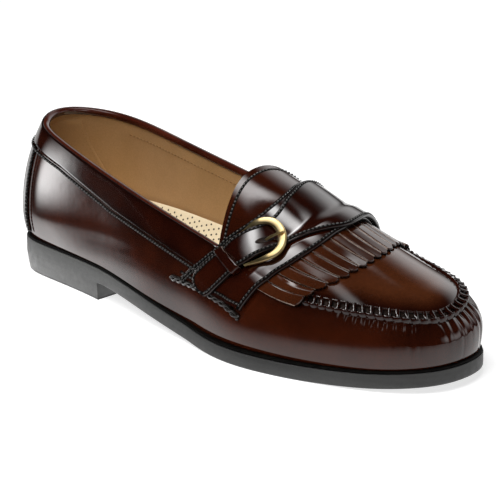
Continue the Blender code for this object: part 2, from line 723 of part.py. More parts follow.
def tube(path, out, widths, heights, closed):
    """The grids of an oval section swept along a path; out is the direction of the section's height."""
    sides = 8
    if closed:
        tangent = np.roll(path, -1, axis=0) - np.roll(path, 1, axis=0)
    else:
        tangent = np.gradient(path, axis=0)
    side = np.cross(tangent, out)
    side = side / np.linalg.norm(side, axis=1, keepdims=True)
    lift = np.cross(side, tangent)
    lift = lift / np.linalg.norm(lift, axis=1, keepdims=True)
    rings = []
    for turn in np.linspace(0, 2 * math.pi, sides + 1):
        reach = 0.5 * widths * math.cos(turn), 0.5 * heights * math.sin(turn)
        rings.append(path + side * reach[0][:, None] + lift * reach[1][:, None])
    grid = np.stack(rings, 1)
    grid[:, -1] = grid[:, 0]
    if closed:
        return [np.concatenate([grid, grid[:1]])]
    caps = [np.stack([np.repeat(path[i][None], sides + 1, axis=0), grid[i]]) for i in (0, -1)]
    return [grid, *caps]


def frame_outline(length):
    """The buckle's D-shaped middle line in the plane of the strap: (along from the bar, across)."""
    half = BUCKLE_WIDTH / 2
    straight = length - BUCKLE_BEND
    points = [(0, y) for y in np.linspace(-half + 1.4, half - 1.4, 5)] + [(1.4, half)]
    points += [(x, half) for x in np.linspace(4, straight, 4)]
    for turn in np.linspace(90, -90, 15)[1:-1]:
        across = math.sin(math.radians(turn))
        forward = math.cos(math.radians(turn)) ** 0.8
        points.append((straight + BUCKLE_BEND * forward, half * across))
    points += [(x, -half) for x in np.linspace(straight, 4, 4)] + [(1.4, -half)]
    return np.array(points)


def make_buckle():
    bar, end, run, side, out = strap_frame(BUCKLE_BAR_AT, BUCKLE_END_AT)
    length = (end - bar) @ run
    middle, _ = saddle_top(np.add(BUCKLE_BAR_AT, BUCKLE_END_AT) / 2)
    bulge = (middle - (bar + end) / 2) @ out
    outline = frame_outline(length)

    def height(share):
        rise = BAR_HEIGHT + (FRAME_END_HEIGHT - BAR_HEIGHT) * smooth_step(share, 0.1, 0.6)
        return rise + FRAME_CURVE * bulge * 4 * share * (1 - share)

    share = outline[:, 0] / length
    path = bar + outline[:, :1] * run + outline[:, 1:] * side + height(share)[:, None] * out
    wide = FRAME_NARROW + (FRAME_WIDE - FRAME_NARROW) * smooth_step(share, 0.1, 0.95)
    wide = np.where(share < 0.02, BAR_THICK, wide)
    high = np.where(share < 0.02, BAR_THICK, FRAME_HIGH)
    add_solid("buckle_frame", "brass", tube(path, out, wide, high, True), 60)
    root, tip = BAR_THICK / 2 + GAP + PRONG_RADIUS, length + 1.0
    f = np.linspace(0, 1, 9)
    top = height(np.array(1.0)) + FRAME_HIGH / 2 + GAP + PRONG_RADIUS
    rise = BAR_HEIGHT + (top - BAR_HEIGHT) * np.sin(math.pi / 2 * f) + 0.4 * np.sin(math.pi * f)
    path = bar + (root + (tip - root) * f)[:, None] * run + rise[:, None] * out
    thick = 2 * PRONG_RADIUS * (1 - 0.25 * f)
    add_solid("buckle_prong", "brass", tube(path, out, thick, thick, False), 60)


def make_keeper():
    sheets = []
    for grown in (KEEPER_THICK, 0.0):
        beyond = (KEEPER_CLEAR + grown) / KEEPER_STRAP
        shares = np.array([-beyond, -beyond, 0, 0.25, 0.5, 0.75, 1, 1 + beyond, 1 + beyond])
        rows = []
        for edge in (0.0, 0.5, 1.0):
            upper = KEEPER_UPPER[0] + (KEEPER_UPPER[1] - KEEPER_UPPER[0]) * edge
            lower = KEEPER_LOWER[0] + (KEEPER_LOWER[1] - KEEPER_LOWER[0]) * edge
            across = upper + (lower - upper) * shares
            x = STRAP_REAR(across) + (STRAP_FRONT(across) - STRAP_REAR(across)) * shares
            a = np.array([along_at(one, w) for one, w in zip(x, across)])
            height = strap_low(a, across, x) + STRAP_THICK + KEEPER_CLEAR + grown
            height = height + KEEPER_CROWN * (1 - (2 * shares - 1) ** 2)
            height[[0, -1]] = (saddle_low(x, across) + SADDLE_THICK + KEEPER_FOOT)[[0, -1]]
            rows.append(skin(a, across, height))
        sheets.append(np.stack(rows))
    return add_solid("strap_keeper", "leather", slab(*sheets))


def stand_on_origin():
    """Put the middle of the whole shoe's footprint box at X = Y = 0."""
    solids = list(bpy.context.scene.collection.objects)
    corners = np.array([v.co[:2] for solid in solids for v in solid.data.vertices])
    middle = (corners.min(axis=0) + corners.max(axis=0)) / 2
    for solid in solids:
        for vertex in solid.data.vertices:
            vertex.co.x -= middle[0]
            vertex.co.y -= middle[1]


def main():
    for obj in list(bpy.data.objects):
        bpy.data.objects.remove(obj)
    make_upper()
    make_outsole()
    make_heel()
    make_welt()
    make_insole()
    make_collar_band()
    make_back_stay()
    make_saddle()
    make_kiltie()
    make_strap()
    make_keeper()
    make_buckle()
    stand_on_origin()


main()
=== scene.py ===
"""The looks of a right-foot buckle loafer: fine meshes, stitching, materials, light and camera.

The form functions repeat those of the solids, in millimetres with the heel's back at X = 0. Every mesh is
moved to the frame's origin and scaled to metres when it is made.
"""

import math
from collections import namedtuple

import bmesh
import bpy
import numpy as np
from mathutils import Matrix, Vector
from mathutils.kdtree import KDTree


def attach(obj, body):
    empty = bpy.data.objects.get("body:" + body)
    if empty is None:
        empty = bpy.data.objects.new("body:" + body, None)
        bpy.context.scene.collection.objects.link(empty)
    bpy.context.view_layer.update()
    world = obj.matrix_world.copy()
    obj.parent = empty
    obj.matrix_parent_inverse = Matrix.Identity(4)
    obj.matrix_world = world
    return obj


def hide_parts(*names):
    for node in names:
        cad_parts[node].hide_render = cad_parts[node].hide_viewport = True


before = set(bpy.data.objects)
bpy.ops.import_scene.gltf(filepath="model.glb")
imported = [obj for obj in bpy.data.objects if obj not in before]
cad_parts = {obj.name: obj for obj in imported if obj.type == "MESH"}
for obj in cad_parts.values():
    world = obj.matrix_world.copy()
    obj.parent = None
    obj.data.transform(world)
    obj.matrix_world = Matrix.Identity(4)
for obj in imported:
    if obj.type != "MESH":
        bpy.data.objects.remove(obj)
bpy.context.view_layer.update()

MM = 0.001
FOOTPRINT_MIDDLE = np.array([147.625, -1.619, 0.0])  # the frame's origin, in the form's own places

# The last and the sole
SOLE_LENGTH, BALL_WIDTH, INSTEP_HEIGHT = 297.0, 101.0, 86.0
HEEL_HEIGHT, HEEL_BACK_RISE, HEEL_LENGTH, HEEL_TAPER = 9.4, 0.8, 74.0, 1.4
TOE_SPRING = 4.5
TREAD_START, TREAD_END = 184.0, 222.0
OUTSOLE_THICK, WELT_THICK, WELT_STEP = 7.3, 1.5, 0.5
INSOLE_CLEAR, INSOLE_THICK, ARCH_CUP, SIDE_CUP = 0.6, 6.0, 16.0, 2.0
ARCH_MIDDLE, ARCH_BEHIND, ARCH_AHEAD = 112.0, 110.0, 36.0
GAP, LAYER_GAP = 0.3, 0.45
LEATHER_WALL, LINING_OUT, LINING_IN = 1.2, 1.25, 2.0
THROAT_X, THROAT_BOW, PLUG_ROUNDNESS, WALL_ROLL = 169.0, 9.0, 2.3, 2.1
SEAM_RIDGE, SEAM_CORE, SEAM_REACH, SEAM_START, SEAM_FULL = 1.6, 2.4, 6.0, 0.22, 0.42
BAND_THICK, STAY_THICK, KILTIE_THICK, SADDLE_THICK, STRAP_THICK = 1.2, 1.0, 1.2, 1.5, 1.6

# The wall, station by station: shares of SOLE_LENGTH and BALL_WIDTH, insets, and the rim's height
Station = namedtuple("Station", "along across feather belly belly_height rim rim_height")
WALL = {
    "back": Station(0.000, 0.030, 2.0, -0.4, 14, 11.0, 82.0),
    "lateral_heel_round": Station(0.030, -0.174, 2.0, -0.4, 14, 10.5, 80.0),
    "lateral_heel": Station(0.108, -0.240, 1.6, 0.0, 13, 7.0, 75.6),
    "lateral_breast": Station(0.249, -0.290, 1.2, 0.4, 12, 5.0, 67.5),
    "lateral_waist": Station(0.397, -0.383, 1.3, 0.8, 12, 6.5, 61.5),
    "lateral_joint_rear": Station(0.522, -0.452, 2.3, 0.8, 12, 9.0, 55.8),
    "lateral_joint": Station(0.633, -0.508, 2.9, 0.5, 11, 11.0, 50.0),
    "lateral_tread": Station(0.734, -0.481, 2.6, 0.5, 11, 10.5, 41.3),
    "lateral_toe_side": Station(0.832, -0.404, 2.2, 0.5, 11, 10.0, 38.7),
    "lateral_toe": Station(0.921, -0.298, 1.8, 0.5, 11, 10.0, 37.8),
    "lateral_toe_corner": Station(0.986, -0.127, 1.8, 0.5, 10, 10.0, 36.4),
    "toe_tip": Station(1.000, 0.057, 1.8, 0.5, 10, 10.0, 37.2),
    "medial_toe_corner": Station(0.982, 0.238, 1.8, 0.5, 11, 10.5, 39.8),
    "medial_toe": Station(0.933, 0.371, 2.0, 0.5, 11, 11.0, 42.2),
    "medial_tread": Station(0.835, 0.465, 2.4, 0.5, 12, 13.0, 44.8),
    "medial_joint": Station(0.721, 0.495, 2.4, 0.5, 12, 14.0, 49.0),
    "medial_joint_rear": Station(0.593, 0.436, 2.0, 0.8, 13, 10.0, 56.5),
    "medial_waist": Station(0.438, 0.327, 1.5, 0.8, 14, 3.0, 66.0),
    "medial_breast": Station(0.263, 0.317, 1.5, 0.8, 13, 3.0, 74.3),
    "medial_heel": Station(0.115, 0.362, 1.6, 0.0, 13, 7.0, 78.5),
    "medial_heel_round": Station(0.030, 0.238, 2.0, -0.4, 14, 10.0, 81.3),
}
Crest = namedtuple("Crest", "along height")
CREST = [
    Crest(0.538, 1.000),
    Crest(0.616, 0.906),
    Crest(0.680, 0.812),
    Crest(0.727, 0.759),
    Crest(0.791, 0.676),
    Crest(0.848, 0.606),
    Crest(0.902, 0.541),
    Crest(0.943, 0.489),
    Crest(0.966, 0.445),
]
# Edges of what crosses the instep: across is -2 at the outer feather line, -1 at the rim, 0 on the ridge
Edge = namedtuple("Edge", "across rear front")
SADDLE = [
    Edge(-1.50, 150.0, 198.5),
    Edge(-1.30, 158.5, 201.5),
    Edge(-1.05, 168.8, 205.5),
    Edge(-0.93, 173.5, 208.7),
    Edge(-0.79, 179.5, 213.4),
    Edge(-0.62, 184.0, 217.5),
    Edge(-0.42, 186.0, 220.0),
    Edge(-0.15, 185.5, 220.4),
    Edge(0.15, 182.5, 219.7),
    Edge(0.42, 180.0, 216.5),
    Edge(0.62, 178.5, 213.0),
    Edge(0.79, 176.5, 210.0),
    Edge(0.93, 173.5, 207.5),
    Edge(1.05, 168.8, 205.0),
    Edge(1.30, 158.5, 201.0),
    Edge(1.50, 150.0, 198.0),
]
SADDLE_RISE = 0.08
STRAP = [
    Edge(-1.52, 168.0, 172.8),
    Edge(-1.50, 166.0, 174.5),
    Edge(-1.46, 163.5, 177.0),
    Edge(-1.40, 162.3, 179.3),
    Edge(-1.21, 167.7, 185.8),
    Edge(-1.07, 173.0, 190.2),
    Edge(-0.94, 179.0, 195.2),
    Edge(-0.79, 185.0, 201.0),
    Edge(-0.65, 190.0, 206.0),
    Edge(-0.48, 191.8, 211.0),
    Edge(-0.20, 188.9, 217.5),
    Edge(0.05, 186.0, 221.0),
    Edge(0.26, 183.2, 220.0),
    Edge(0.50, 181.0, 216.5),
    Edge(0.79, 178.0, 211.5),
    Edge(0.95, 174.5, 208.5),
    Edge(1.05, 170.3, 206.5),
    Edge(1.24, 162.5, 203.5),
]
Depth = namedtuple("Depth", "along share")
BAND = [Depth(-1.0, 0.17), Depth(-0.7, 0.19), Depth(-0.45, 0.28), Depth(0.0, 0.30)]
STAY_WIDTH = 57.0
KILTIE_TUCK, KILTIE_LENGTH, KILTIE_REACH = 5.0, 23.3, 1.14
KILTIE_STRIPS, KILTIE_SLIT, KILTIE_LIFT, KILTIE_ROUND = 17, 0.55, 0.6, 1.8
BUCKLE_BAR_AT, BUCKLE_END_AT = (187.5, -0.93), (202.8, -0.585)
BUCKLE_WIDTH, BUCKLE_BEND = 21.0, 11.0
FRAME_HIGH, BAR_THICK, FRAME_DRAW_IN = 2.2, 1.8, 1.7
BAR_HEIGHT, FRAME_END_HEIGHT, FRAME_CURVE = 1.7, 4.3, 0.6
STRAP_BAR_LIFT, STRAP_BAR_BEHIND, STRAP_BAR_LEVEL, STRAP_BAR_AHEAD = 2.5, 6.5, 6.0, 22.0
KEEPER_UPPER, KEEPER_LOWER = (-1.055, -0.980), (-1.140, -1.048)
KEEPER_THICK, KEEPER_CLEAR, KEEPER_FOOT, KEEPER_CROWN, KEEPER_CORNER = 1.1, 0.3, 0.1, 0.3, 1.0
KEEPER_STRAP = 16.0  # the strap's width there

# Sewing
STITCH_PITCH, STITCH_WIDE, STITCH_HIGH = 2.2, 1.0, 0.75
STITCH_SHARE = 0.64  # of the pitch that the thread shows for
GROOVE_WIDE, GROOVE_HIGH = 1.6, 0.36
EDGE_STITCH = 1.5  # from a cut edge to its row of stitches
SEAM_PITCH = 4.4  # of the thick stitches across the apron seam, and of the gathers below it
GATHER_DEPTH = 0.9
PLEATS = 64  # how many gathers differ before they repeat

RANDOM = np.random.default_rng(11)
SIDES = (-1.0, 1.0)  # the outer and the inner side of the foot


# Interpolation

def hermite(knots, values, slopes, at):
    i = np.clip(np.searchsorted(knots, at, side="right") - 1, 0, len(knots) - 2)
    step = knots[i + 1] - knots[i]
    f = (at - knots[i]) / step
    return (
        values[i] * (1 + 2 * f) * (1 - f) ** 2
        + values[i + 1] * f * f * (3 - 2 * f)
        + slopes[i] * step * f * (1 - f) ** 2
        - slopes[i + 1] * step * f * f * (1 - f)
    )


def open_curve(knots, values):
    knots, values = np.asarray(knots, float), np.asarray(values, float)
    slopes = np.gradient(values, knots)
    return lambda at: hermite(knots, values, slopes, np.clip(at, knots[0], knots[-1]))


def closed_curve(knots, values):
    values = np.asarray(values, float)
    count = len(values)
    step = np.diff(knots)
    before, after = np.roll(step, 1), step
    rise_before = (values - np.roll(values, 1)) / before
    rise_after = (np.roll(values, -1) - values) / after
    matrix = np.zeros((count, count))
    for i in range(count):
        matrix[i, i - 1] += after[i]
        matrix[i, i] += 2 * (before[i] + after[i])
        matrix[i, (i + 1) % count] += before[i]
    slopes = np.linalg.solve(matrix, 3 * (after * rise_before + before * rise_after))
    values, slopes = np.append(values, values[0]), np.append(slopes, slopes[0])
    return lambda at: hermite(knots, values, slopes, np.mod(at, knots[-1]))


def smooth_step(value, low, high):
    f = np.clip((value - low) / (high - low), 0, 1)
    return f * f * (3 - 2 * f)


def unit(vectors):
    return vectors / np.linalg.norm(vectors, axis=-1, keepdims=True)


def spread(low, high, count, focus, gain=2.0, reach=0.14):
    """Values from low to high that crowd round each place in focus, and hold that place itself."""
    fine = np.linspace(low, high, 1600)
    density = 1 + sum(gain * np.exp(-(((fine - place) / reach) ** 2)) for place in focus)
    total = np.concatenate([[0], np.cumsum(density[1:] + density[:-1])])
    values = np.interp(np.linspace(0, total[-1], count), total, fine)
    for place in focus:
        values[np.argmin(np.abs(values - place))] = place
    return values


def ends_crowded(count):
    """Shares from 0 to 1 that crowd at both ends, where an edge is rounded."""
    return (1 - np.cos(np.linspace(0, math.pi, count))) / 2


# The form of the last

EDGE = np.array([(s.along * SOLE_LENGTH, s.across * BALL_WIDTH) for s in WALL.values()])
CHORDS = np.linalg.norm(np.roll(EDGE, -1, axis=0) - EDGE, axis=1)
KNOTS = np.concatenate([[0], np.cumsum(np.sqrt(CHORDS))])
EDGE_X, EDGE_Y = (closed_curve(KNOTS, values) for values in EDGE.T)
PROFILE = {
    name: closed_curve(KNOTS, [getattr(s, name) for s in WALL.values()])
    for name in ("feather", "belly", "belly_height", "rim", "rim_height")
}
FINE = np.linspace(0, KNOTS[-1], 4001)
FINE_X, FINE_Y = EDGE_X(FINE), EDGE_Y(FINE)
FINE_ARC = np.concatenate([[0], np.cumsum(np.hypot(np.diff(FINE_X), np.diff(FINE_Y)))])
TOE = KNOTS[list(WALL).index("toe_tip")]
TOE_ARC = np.interp(TOE, FINE, FINE_ARC)


def throat_arc(lateral):
    """Distance along the sole's edge to the throat."""
    side = FINE <= TOE if lateral else FINE >= TOE
    x, arc = FINE_X[side], FINE_ARC[side]
    order = np.argsort(x)
    return np.interp(THROAT_X, x[order], arc[order])


def column(along, lateral):
    """Place on the sole's edge: along is -1 at the heel's back, 0 at the throat and 1 at the toe."""
    start = 0 if lateral else FINE_ARC[-1]
    arc = np.interp(along, [-1, 0, 1], [start, throat_arc(lateral), TOE_ARC])
    return np.interp(arc, FINE_ARC, FINE)


def inset_point(place, inset):
    """A place on the sole's edge, moved inwards."""
    nudge = 0.01
    dx = EDGE_X(place + nudge) - EDGE_X(place - nudge)
    dy = EDGE_Y(place + nudge) - EDGE_Y(place - nudge)
    length = np.hypot(dx, dy)
    return EDGE_X(place) - dy / length * inset, EDGE_Y(place) + dx / length * inset


def sole_under(x):
    """Height of the outsole's underside: the seat, the arch, the tread and the toe spring."""
    seat = HEEL_HEIGHT + HEEL_BACK_RISE * np.clip(1 - x / HEEL_LENGTH, 0, 1)
    fall = np.clip((TREAD_START - x) / (TREAD_START - HEEL_LENGTH), 0, 1)
    arch = HEEL_HEIGHT * (0.45 * fall + 0.55 * fall * fall * (3 - 2 * fall)) * np.minimum(1, fall * 4)
    spring = TOE_SPRING * np.clip((x - TREAD_END) / (SOLE_LENGTH - TREAD_END), 0, 1) ** 2
    return np.where(x < HEEL_LENGTH, seat, arch + spring)


CREST_HEIGHT = open_curve([c.along * SOLE_LENGTH for c in CREST], [c.height * INSTEP_HEIGHT for c in CREST])


def wall_point(along, across):
    """Points of the wall: across runs from 2 at the feather line to 1 at the rim, negative outside."""
    place = np.where(across < 0, column(along, True), column(along, False))
    share = np.clip(2 - np.abs(across), 0, 1)
    x0, _ = inset_point(place, PROFILE["feather"](place))
    foot = sole_under(x0) + OUTSOLE_THICK + WELT_THICK + 2 * GAP
    rim_height = PROFILE["rim_height"](place)
    belly_share = PROFILE["belly_height"](place) / (rim_height - foot)
    above = np.clip((share - belly_share) / (1 - belly_share), 0, 1)
    below = np.clip((belly_share - share) / belly_share, 0, 1)
    belly = PROFILE["belly"](place)
    inset = belly + (PROFILE["rim"](place) - belly) * above**WALL_ROLL
    inset = inset + (PROFILE["feather"](place) - belly) * below**2
    x, y = inset_point(place, inset)
    return np.stack([x, y, foot + (rim_height - foot) * share], -1)


def plug_point(along, across):
    """Points of the top, arched from rim to rim up to the crest."""
    outer, inner = (wall_point(along, side) for side in SIDES)
    share = (across[..., None] + 1) / 2
    chord = outer + (inner - outer) * share
    arch = 1 - np.abs(across) ** PLUG_ROUNDNESS
    middle = (outer + inner) / 2
    bow = THROAT_BOW * np.clip(1 - along / 0.6, 0, 1) ** 1.5
    height = CREST_HEIGHT(middle[..., 0] - bow) - middle[..., 2]
    chord[..., 0] -= bow * (1 - across**2)
    chord[..., 2] += np.maximum(height, 0) * arch
    return chord


def form(along, across):
    along, across = np.broadcast_arrays(np.asarray(along, float), np.asarray(across, float))
    on_plug = (np.abs(across) < 1)[..., None]
    return np.where(on_plug, plug_point(np.maximum(along, 0), across), wall_point(along, across))


def form_normal(along, across):
    along, across = np.broadcast_arrays(np.asarray(along, float), np.asarray(across, float))
    d = 0.004
    a0, a1 = np.clip(along - d, -1, 1 - 2 * d), np.clip(along + d, 2 * d - 1, 1)
    on_plug = np.abs(across) < 1
    a0, a1 = np.where(on_plug, np.maximum(a0, 0), a0), np.where(on_plug, np.maximum(a1, 2 * d), a1)
    c0, c1 = np.clip(across - d, -2, 2 - 2 * d), np.clip(across + d, 2 * d - 2, 2)
    outer, inner = (along <= 0) & (across <= -1), (along <= 0) & (across >= 1)
    c0, c1 = np.where(inner, np.maximum(c0, 1), c0), np.where(outer, np.minimum(c1, -1), c1)
    run = form(a1, across) - form(a0, across)
    over = form(np.minimum(along, 1 - d), c1) - form(np.minimum(along, 1 - d), c0)
    return unit(np.cross(run, over))


PER_ACROSS, PER_MM = 100, 2  # steps of the table
TABLE_ACROSS = np.linspace(-2, 2, 4 * PER_ACROSS + 1)
TABLE_X = np.linspace(0, 300, 300 * PER_MM + 1)


def along_table():
    """For rows of across and columns of x, the along value where the form reaches x."""
    rows = []
    for across in TABLE_ACROSS:
        along = np.linspace(0 if abs(across) < 1 else -1, 0.999, 300)
        rows.append(np.interp(TABLE_X, form(along, np.full_like(along, across))[:, 0], along))
    return np.array(rows)


ALONG_AT = along_table()


def along_at(x, across):
    x, across = np.broadcast_arrays(np.asarray(x, float), np.asarray(across, float))
    r = np.clip((across + 2) * PER_ACROSS, 0, len(TABLE_ACROSS) - 1.001)
    c = np.clip(x * PER_MM, 0, len(TABLE_X) - 1.001)
    i, j = r.astype(int), c.astype(int)
    u, v = r - i, c - j
    low = ALONG_AT[i, j] * (1 - v) + ALONG_AT[i, j + 1] * v
    high = ALONG_AT[i + 1, j] * (1 - v) + ALONG_AT[i + 1, j + 1] * v
    return low * (1 - u) + high * u


def tree_of(points):
    """A tree that finds the nearest of some points."""
    tree = KDTree(len(points))
    for i, point in enumerate(points):
        tree.insert(point, i)
    tree.balance()
    return tree


RIM = tree_of(np.concatenate([wall_point(np.linspace(0, 1, 700), side) for side in SIDES]))


def rim_distance(points):
    flat = points.reshape(-1, 3)
    return np.array([RIM.find(p)[2] for p in flat]).reshape(points.shape[:-1])


def skin(along, across, height=0.0):
    """A point at a height above the upper, the apron seam's ridge included."""
    points = form(along, across)
    ridge = SEAM_RIDGE * smooth_step(along, SEAM_START, SEAM_FULL)
    ridge = ridge * smooth_step(-rim_distance(points), -SEAM_REACH, -SEAM_CORE)
    return points + form_normal(along, across) * (ridge + height)[..., None]


def sheet(along, across, height=0.0):
    """A grid at a height over the last: a row for each along, a column for each across."""
    a, c = np.meshgrid(along, across, indexing="ij")
    return form(a, c) + form_normal(a, c) * height


def round_the_heel(outer, inner):
    """Points and normals of a strip from the outer side, round the heel's back, to the inner side. Each side
    comes as its along values, from the back, and its across values."""
    return [
        np.concatenate([read(*outer)[:, ::-1], read(*inner)[:, 1:]], 1)
        for read in (form, form_normal)
    ]


# Meshes

def in_frame(points):
    """Points of the form, in metres from the frame's origin."""
    return (points - FOOTPRINT_MIDDLE) * MM


def grid_faces(rows, columns):
    first = (np.arange(rows - 1)[:, None] * columns + np.arange(columns - 1)).reshape(-1, 1)
    return first + np.array([0, 1, columns + 1, columns])


def add_object(name, data):
    made = bpy.data.objects.new(name, data)
    bpy.context.scene.collection.objects.link(made)
    return made


def mesh_object(name, points, faces):
    mesh = bpy.data.meshes.new(name)
    mesh.from_pydata(points, [], faces)
    return add_object(name, mesh)


def piece(name, grids, looks, node=None, smooth_angle=50):
    """A closed mesh from grids of points in mm that share their borders. A grid may come with the index of
    its look."""
    points, faces, marks, start = [], [], [], 0
    for grid in grids:
        grid, mark = grid if isinstance(grid, tuple) else (grid, 0)
        rows, columns, _ = grid.shape
        points.append(grid.reshape(-1, 3))
        faces.append(grid_faces(rows, columns) + start)
        marks.append(np.full(len(faces[-1]), mark))
        start += rows * columns
    points = in_frame(np.concatenate(points))
    made = mesh_object(name, points.tolist(), np.concatenate(faces).tolist())
    mesh = made.data
    mesh.polygons.foreach_set("material_index", np.concatenate(marks).astype(np.int32))
    shape = bmesh.new()
    shape.from_mesh(mesh)
    bmesh.ops.remove_doubles(shape, verts=shape.verts, dist=0.002 * MM)
    bmesh.ops.dissolve_degenerate(shape, edges=shape.edges, dist=0.0005 * MM)
    bmesh.ops.recalc_face_normals(shape, faces=shape.faces)
    shape.to_mesh(mesh)
    shape.free()
    mesh.shade_smooth()
    mesh.set_sharp_from_angle(angle=math.radians(smooth_angle))
    for look in looks:
        mesh.materials.append(look)
    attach(made, "root")
    if node:
        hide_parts(node)
    return made


def slab(top, bottom, edge_mark=0):
    """The grids of a closed slab between two grids."""
    walls = [np.stack([top[i], bottom[i]]) for i in (0, -1)]
    walls += [np.stack([top[:, i], bottom[:, i]]) for i in (0, -1)]
    return [top, bottom, *[(wall, edge_mark) for wall in walls]]


def fan(rim, middle):
    """A cap over a closed line of points."""
    return np.stack([np.broadcast_to(middle, rim.shape), rim])


def run_length(points):
    """Distance along a line of points."""
    steps = np.linalg.norm(np.diff(points, axis=0), axis=-1)
    return np.concatenate([np.zeros_like(steps[:1]), np.cumsum(steps, axis=0)])


def ahead_of(line):
    """The way ahead at each point of a line."""
    return unit(np.gradient(line, axis=0))


def full_turn(count):
    return np.linspace(0, 2 * math.pi, count)


def edge_distance(grid):
    """How far each point of a grid lies from the nearest of its four edges."""
    down = run_length(grid)
    over = run_length(grid.swapaxes(0, 1)).T
    down = np.minimum(down, down[-1:] - down)
    over = np.minimum(over, over[:, -1:] - over)
    return np.minimum(down, over)


def rounded(grid, thick, radius, least=0.35):
    """Thickness of a leather piece whose top edges are rounded."""
    share = np.clip(edge_distance(grid) / radius, 0, 1)
    return thick * (least + (1 - least) * np.sqrt(1 - (1 - share) ** 2))


def resample(points, step, *others):
    """Points at even steps along a line, with any arrays that go with them."""
    run = run_length(points)
    at = np.linspace(0, run[-1], max(2, int(round(run[-1] / step)) + 1))
    read = lambda values: np.stack([np.interp(at, run, v) for v in values.T], -1)
    return [read(points), *[unit(read(o)) for o in others]]


def tube(path, out, widths, heights, closed, sides=16, square=1.0):
    """The grids of an oval section, squarer as square falls, swept along a path."""
    widths, heights = (np.broadcast_to(size, len(path)) for size in (widths, heights))
    if closed:
        tangent = np.roll(path, -1, axis=0) - np.roll(path, 1, axis=0)
    else:
        tangent = np.gradient(path, axis=0)
    side = unit(np.cross(tangent, out))
    lift = unit(np.cross(side, tangent))
    rings = []
    for turn in full_turn(sides + 1):
        x, y = math.cos(turn), math.sin(turn)
        x, y = math.copysign(abs(x) ** square, x), math.copysign(abs(y) ** square, y)
        rings.append(path + side * (0.5 * widths * x)[:, None] + lift * (0.5 * heights * y)[:, None])
    grid = np.stack(rings, 1)
    grid[:, -1] = grid[:, 0]
    if closed:
        return [np.concatenate([grid, grid[:1]])]
    return [grid, *[fan(grid[i], path[i]) for i in (0, -1)]]


def bead(rings=5, sides=8):
    """A rounded grain along X, one unit long, wide and high."""
    turn = full_turn(sides + 1)
    lean = np.linspace(-math.pi / 2, math.pi / 2, rings)
    size = np.cos(lean) ** 0.6
    return np.stack([
        np.repeat(np.sin(lean)[:, None], sides + 1, 1) / 2,
        size[:, None] * np.cos(turn) / 2,
        size[:, None] * np.sin(turn) / 2,
    ], -1)


BEAD = bead()
# The grids of the sewing: fine stitches, painted groove shade under them, those in the lining, and the thick
# ones
SEWN, GROOVE_SHADE, TAN_SEWN, THICK_SEWN = [], [], [], []


def stitches(line, out, inset=0.0, pitch=STITCH_PITCH, slant=0.22, into=SEWN, grow=1.0):
    """A row of stitches beside a line on a surface; a positive inset lies to the left of the line."""
    line, out = resample(line, pitch / 4, out)
    ahead = ahead_of(line)
    left = unit(np.cross(out, ahead))
    places, normals = resample(line + left * inset, pitch, out)
    ahead = ahead_of(places)
    left = unit(np.cross(normals, ahead))
    shape = BEAD * np.array([STITCH_SHARE * pitch, STITCH_WIDE * grow, STITCH_HIGH * 2 * grow])
    for i in range(1, len(places) - 1):
        turned, across = ahead[i] + left[i] * slant, left[i] - ahead[i] * slant
        into.append(places[i] + shape @ np.stack([turned, across, normals[i]]))
    if into is SEWN:
        # Under the row, a black strip: painted shade of its groove.
        GROOVE_SHADE.extend(tube(places, normals, GROOVE_WIDE, GROOVE_HIGH, False, 8))


def stitch_sides(top, out, inset, *settings):
    """Rows beside the first and the last column of a grid."""
    stitches(top[:, 0], out[:, 0], inset, *settings)
    stitches(top[:, -1], out[:, -1], -inset, *settings)


# Materials

def set_inputs(node, **inputs):
    """Set a node's inputs, or link those that come from another node."""
    for name, value in inputs.items():
        socket = node.inputs[name.replace("_", " ")]
        if isinstance(value, bpy.types.NodeSocket):
            node.id_data.links.new(value, socket)
        else:
            socket.default_value = value


class Look:
    """A material under construction, with its nodes."""

    def __init__(self, name, roughness, **settings):
        self.made = bpy.data.materials.new(name)
        self.made.use_nodes = True
        self.nodes, self.links = self.made.node_tree.nodes, self.made.node_tree.links
        self.shader = self.nodes["Principled BSDF"]
        set_inputs(self.shader, Roughness=roughness, **settings)
        self.place = self.node("TexCoord").outputs["Object"]

    def node(self, kind, **inputs):
        made = self.nodes.new("ShaderNode" + kind)
        set_inputs(made, **inputs)
        return made

    def noise(self, size, detail=3.0, stretch=(1, 1, 1)):
        """Noise with features of a size in mm."""
        place = self.node("Mapping", Vector=self.place, Scale=stretch).outputs["Vector"]
        return self.node("TexNoise", Vector=place, Scale=1 / (size * MM), Detail=detail).outputs["Fac"]

    def pebbles(self, size):
        """Rounded grains of a size in mm."""
        made = self.node("TexVoronoi")
        made.feature = "SMOOTH_F1"
        set_inputs(made, Vector=self.place, Scale=1 / (size * MM), Smoothness=0.4)
        return made.outputs["Distance"]

    def attribute(self, name):
        made = self.node("Attribute")
        made.attribute_name = name
        return made.outputs["Fac"]

    def ramp(self, source, *stops):
        """Two colours, or greys, along a source: (place, colour) stops."""
        made = self.node("ValToRGB", Fac=source)
        for element, (place, colour) in zip(made.color_ramp.elements, stops):
            element.position = place
            element.color = (*colour, 1) if isinstance(colour, tuple) else (colour, colour, colour, 1)
        return made.outputs["Color"]

    def mix(self, blend, factor, first, second):
        made = self.node("Mix")
        made.data_type, made.blend_type = "RGBA", blend
        set_inputs(made, Factor=factor)
        for socket, source in zip(made.inputs[6:8], (first, second)):
            self.links.new(source, socket)
        return made.outputs[2]

    def times(self, tone, *greys):
        for grey in greys:
            tone = self.mix("MULTIPLY", 1.0, tone, grey)
        return tone

    def bump(self, source, height, base=None):
        """A bump of a height in mm; a base is an earlier bump."""
        made = self.node("Bump", Height=source, Strength=1.0, Distance=height * MM)
        if base:
            set_inputs(made, Normal=base)
        return made.outputs["Normal"]

    def made_with(self, **inputs):
        set_inputs(self.shader, **inputs)
        return self.made


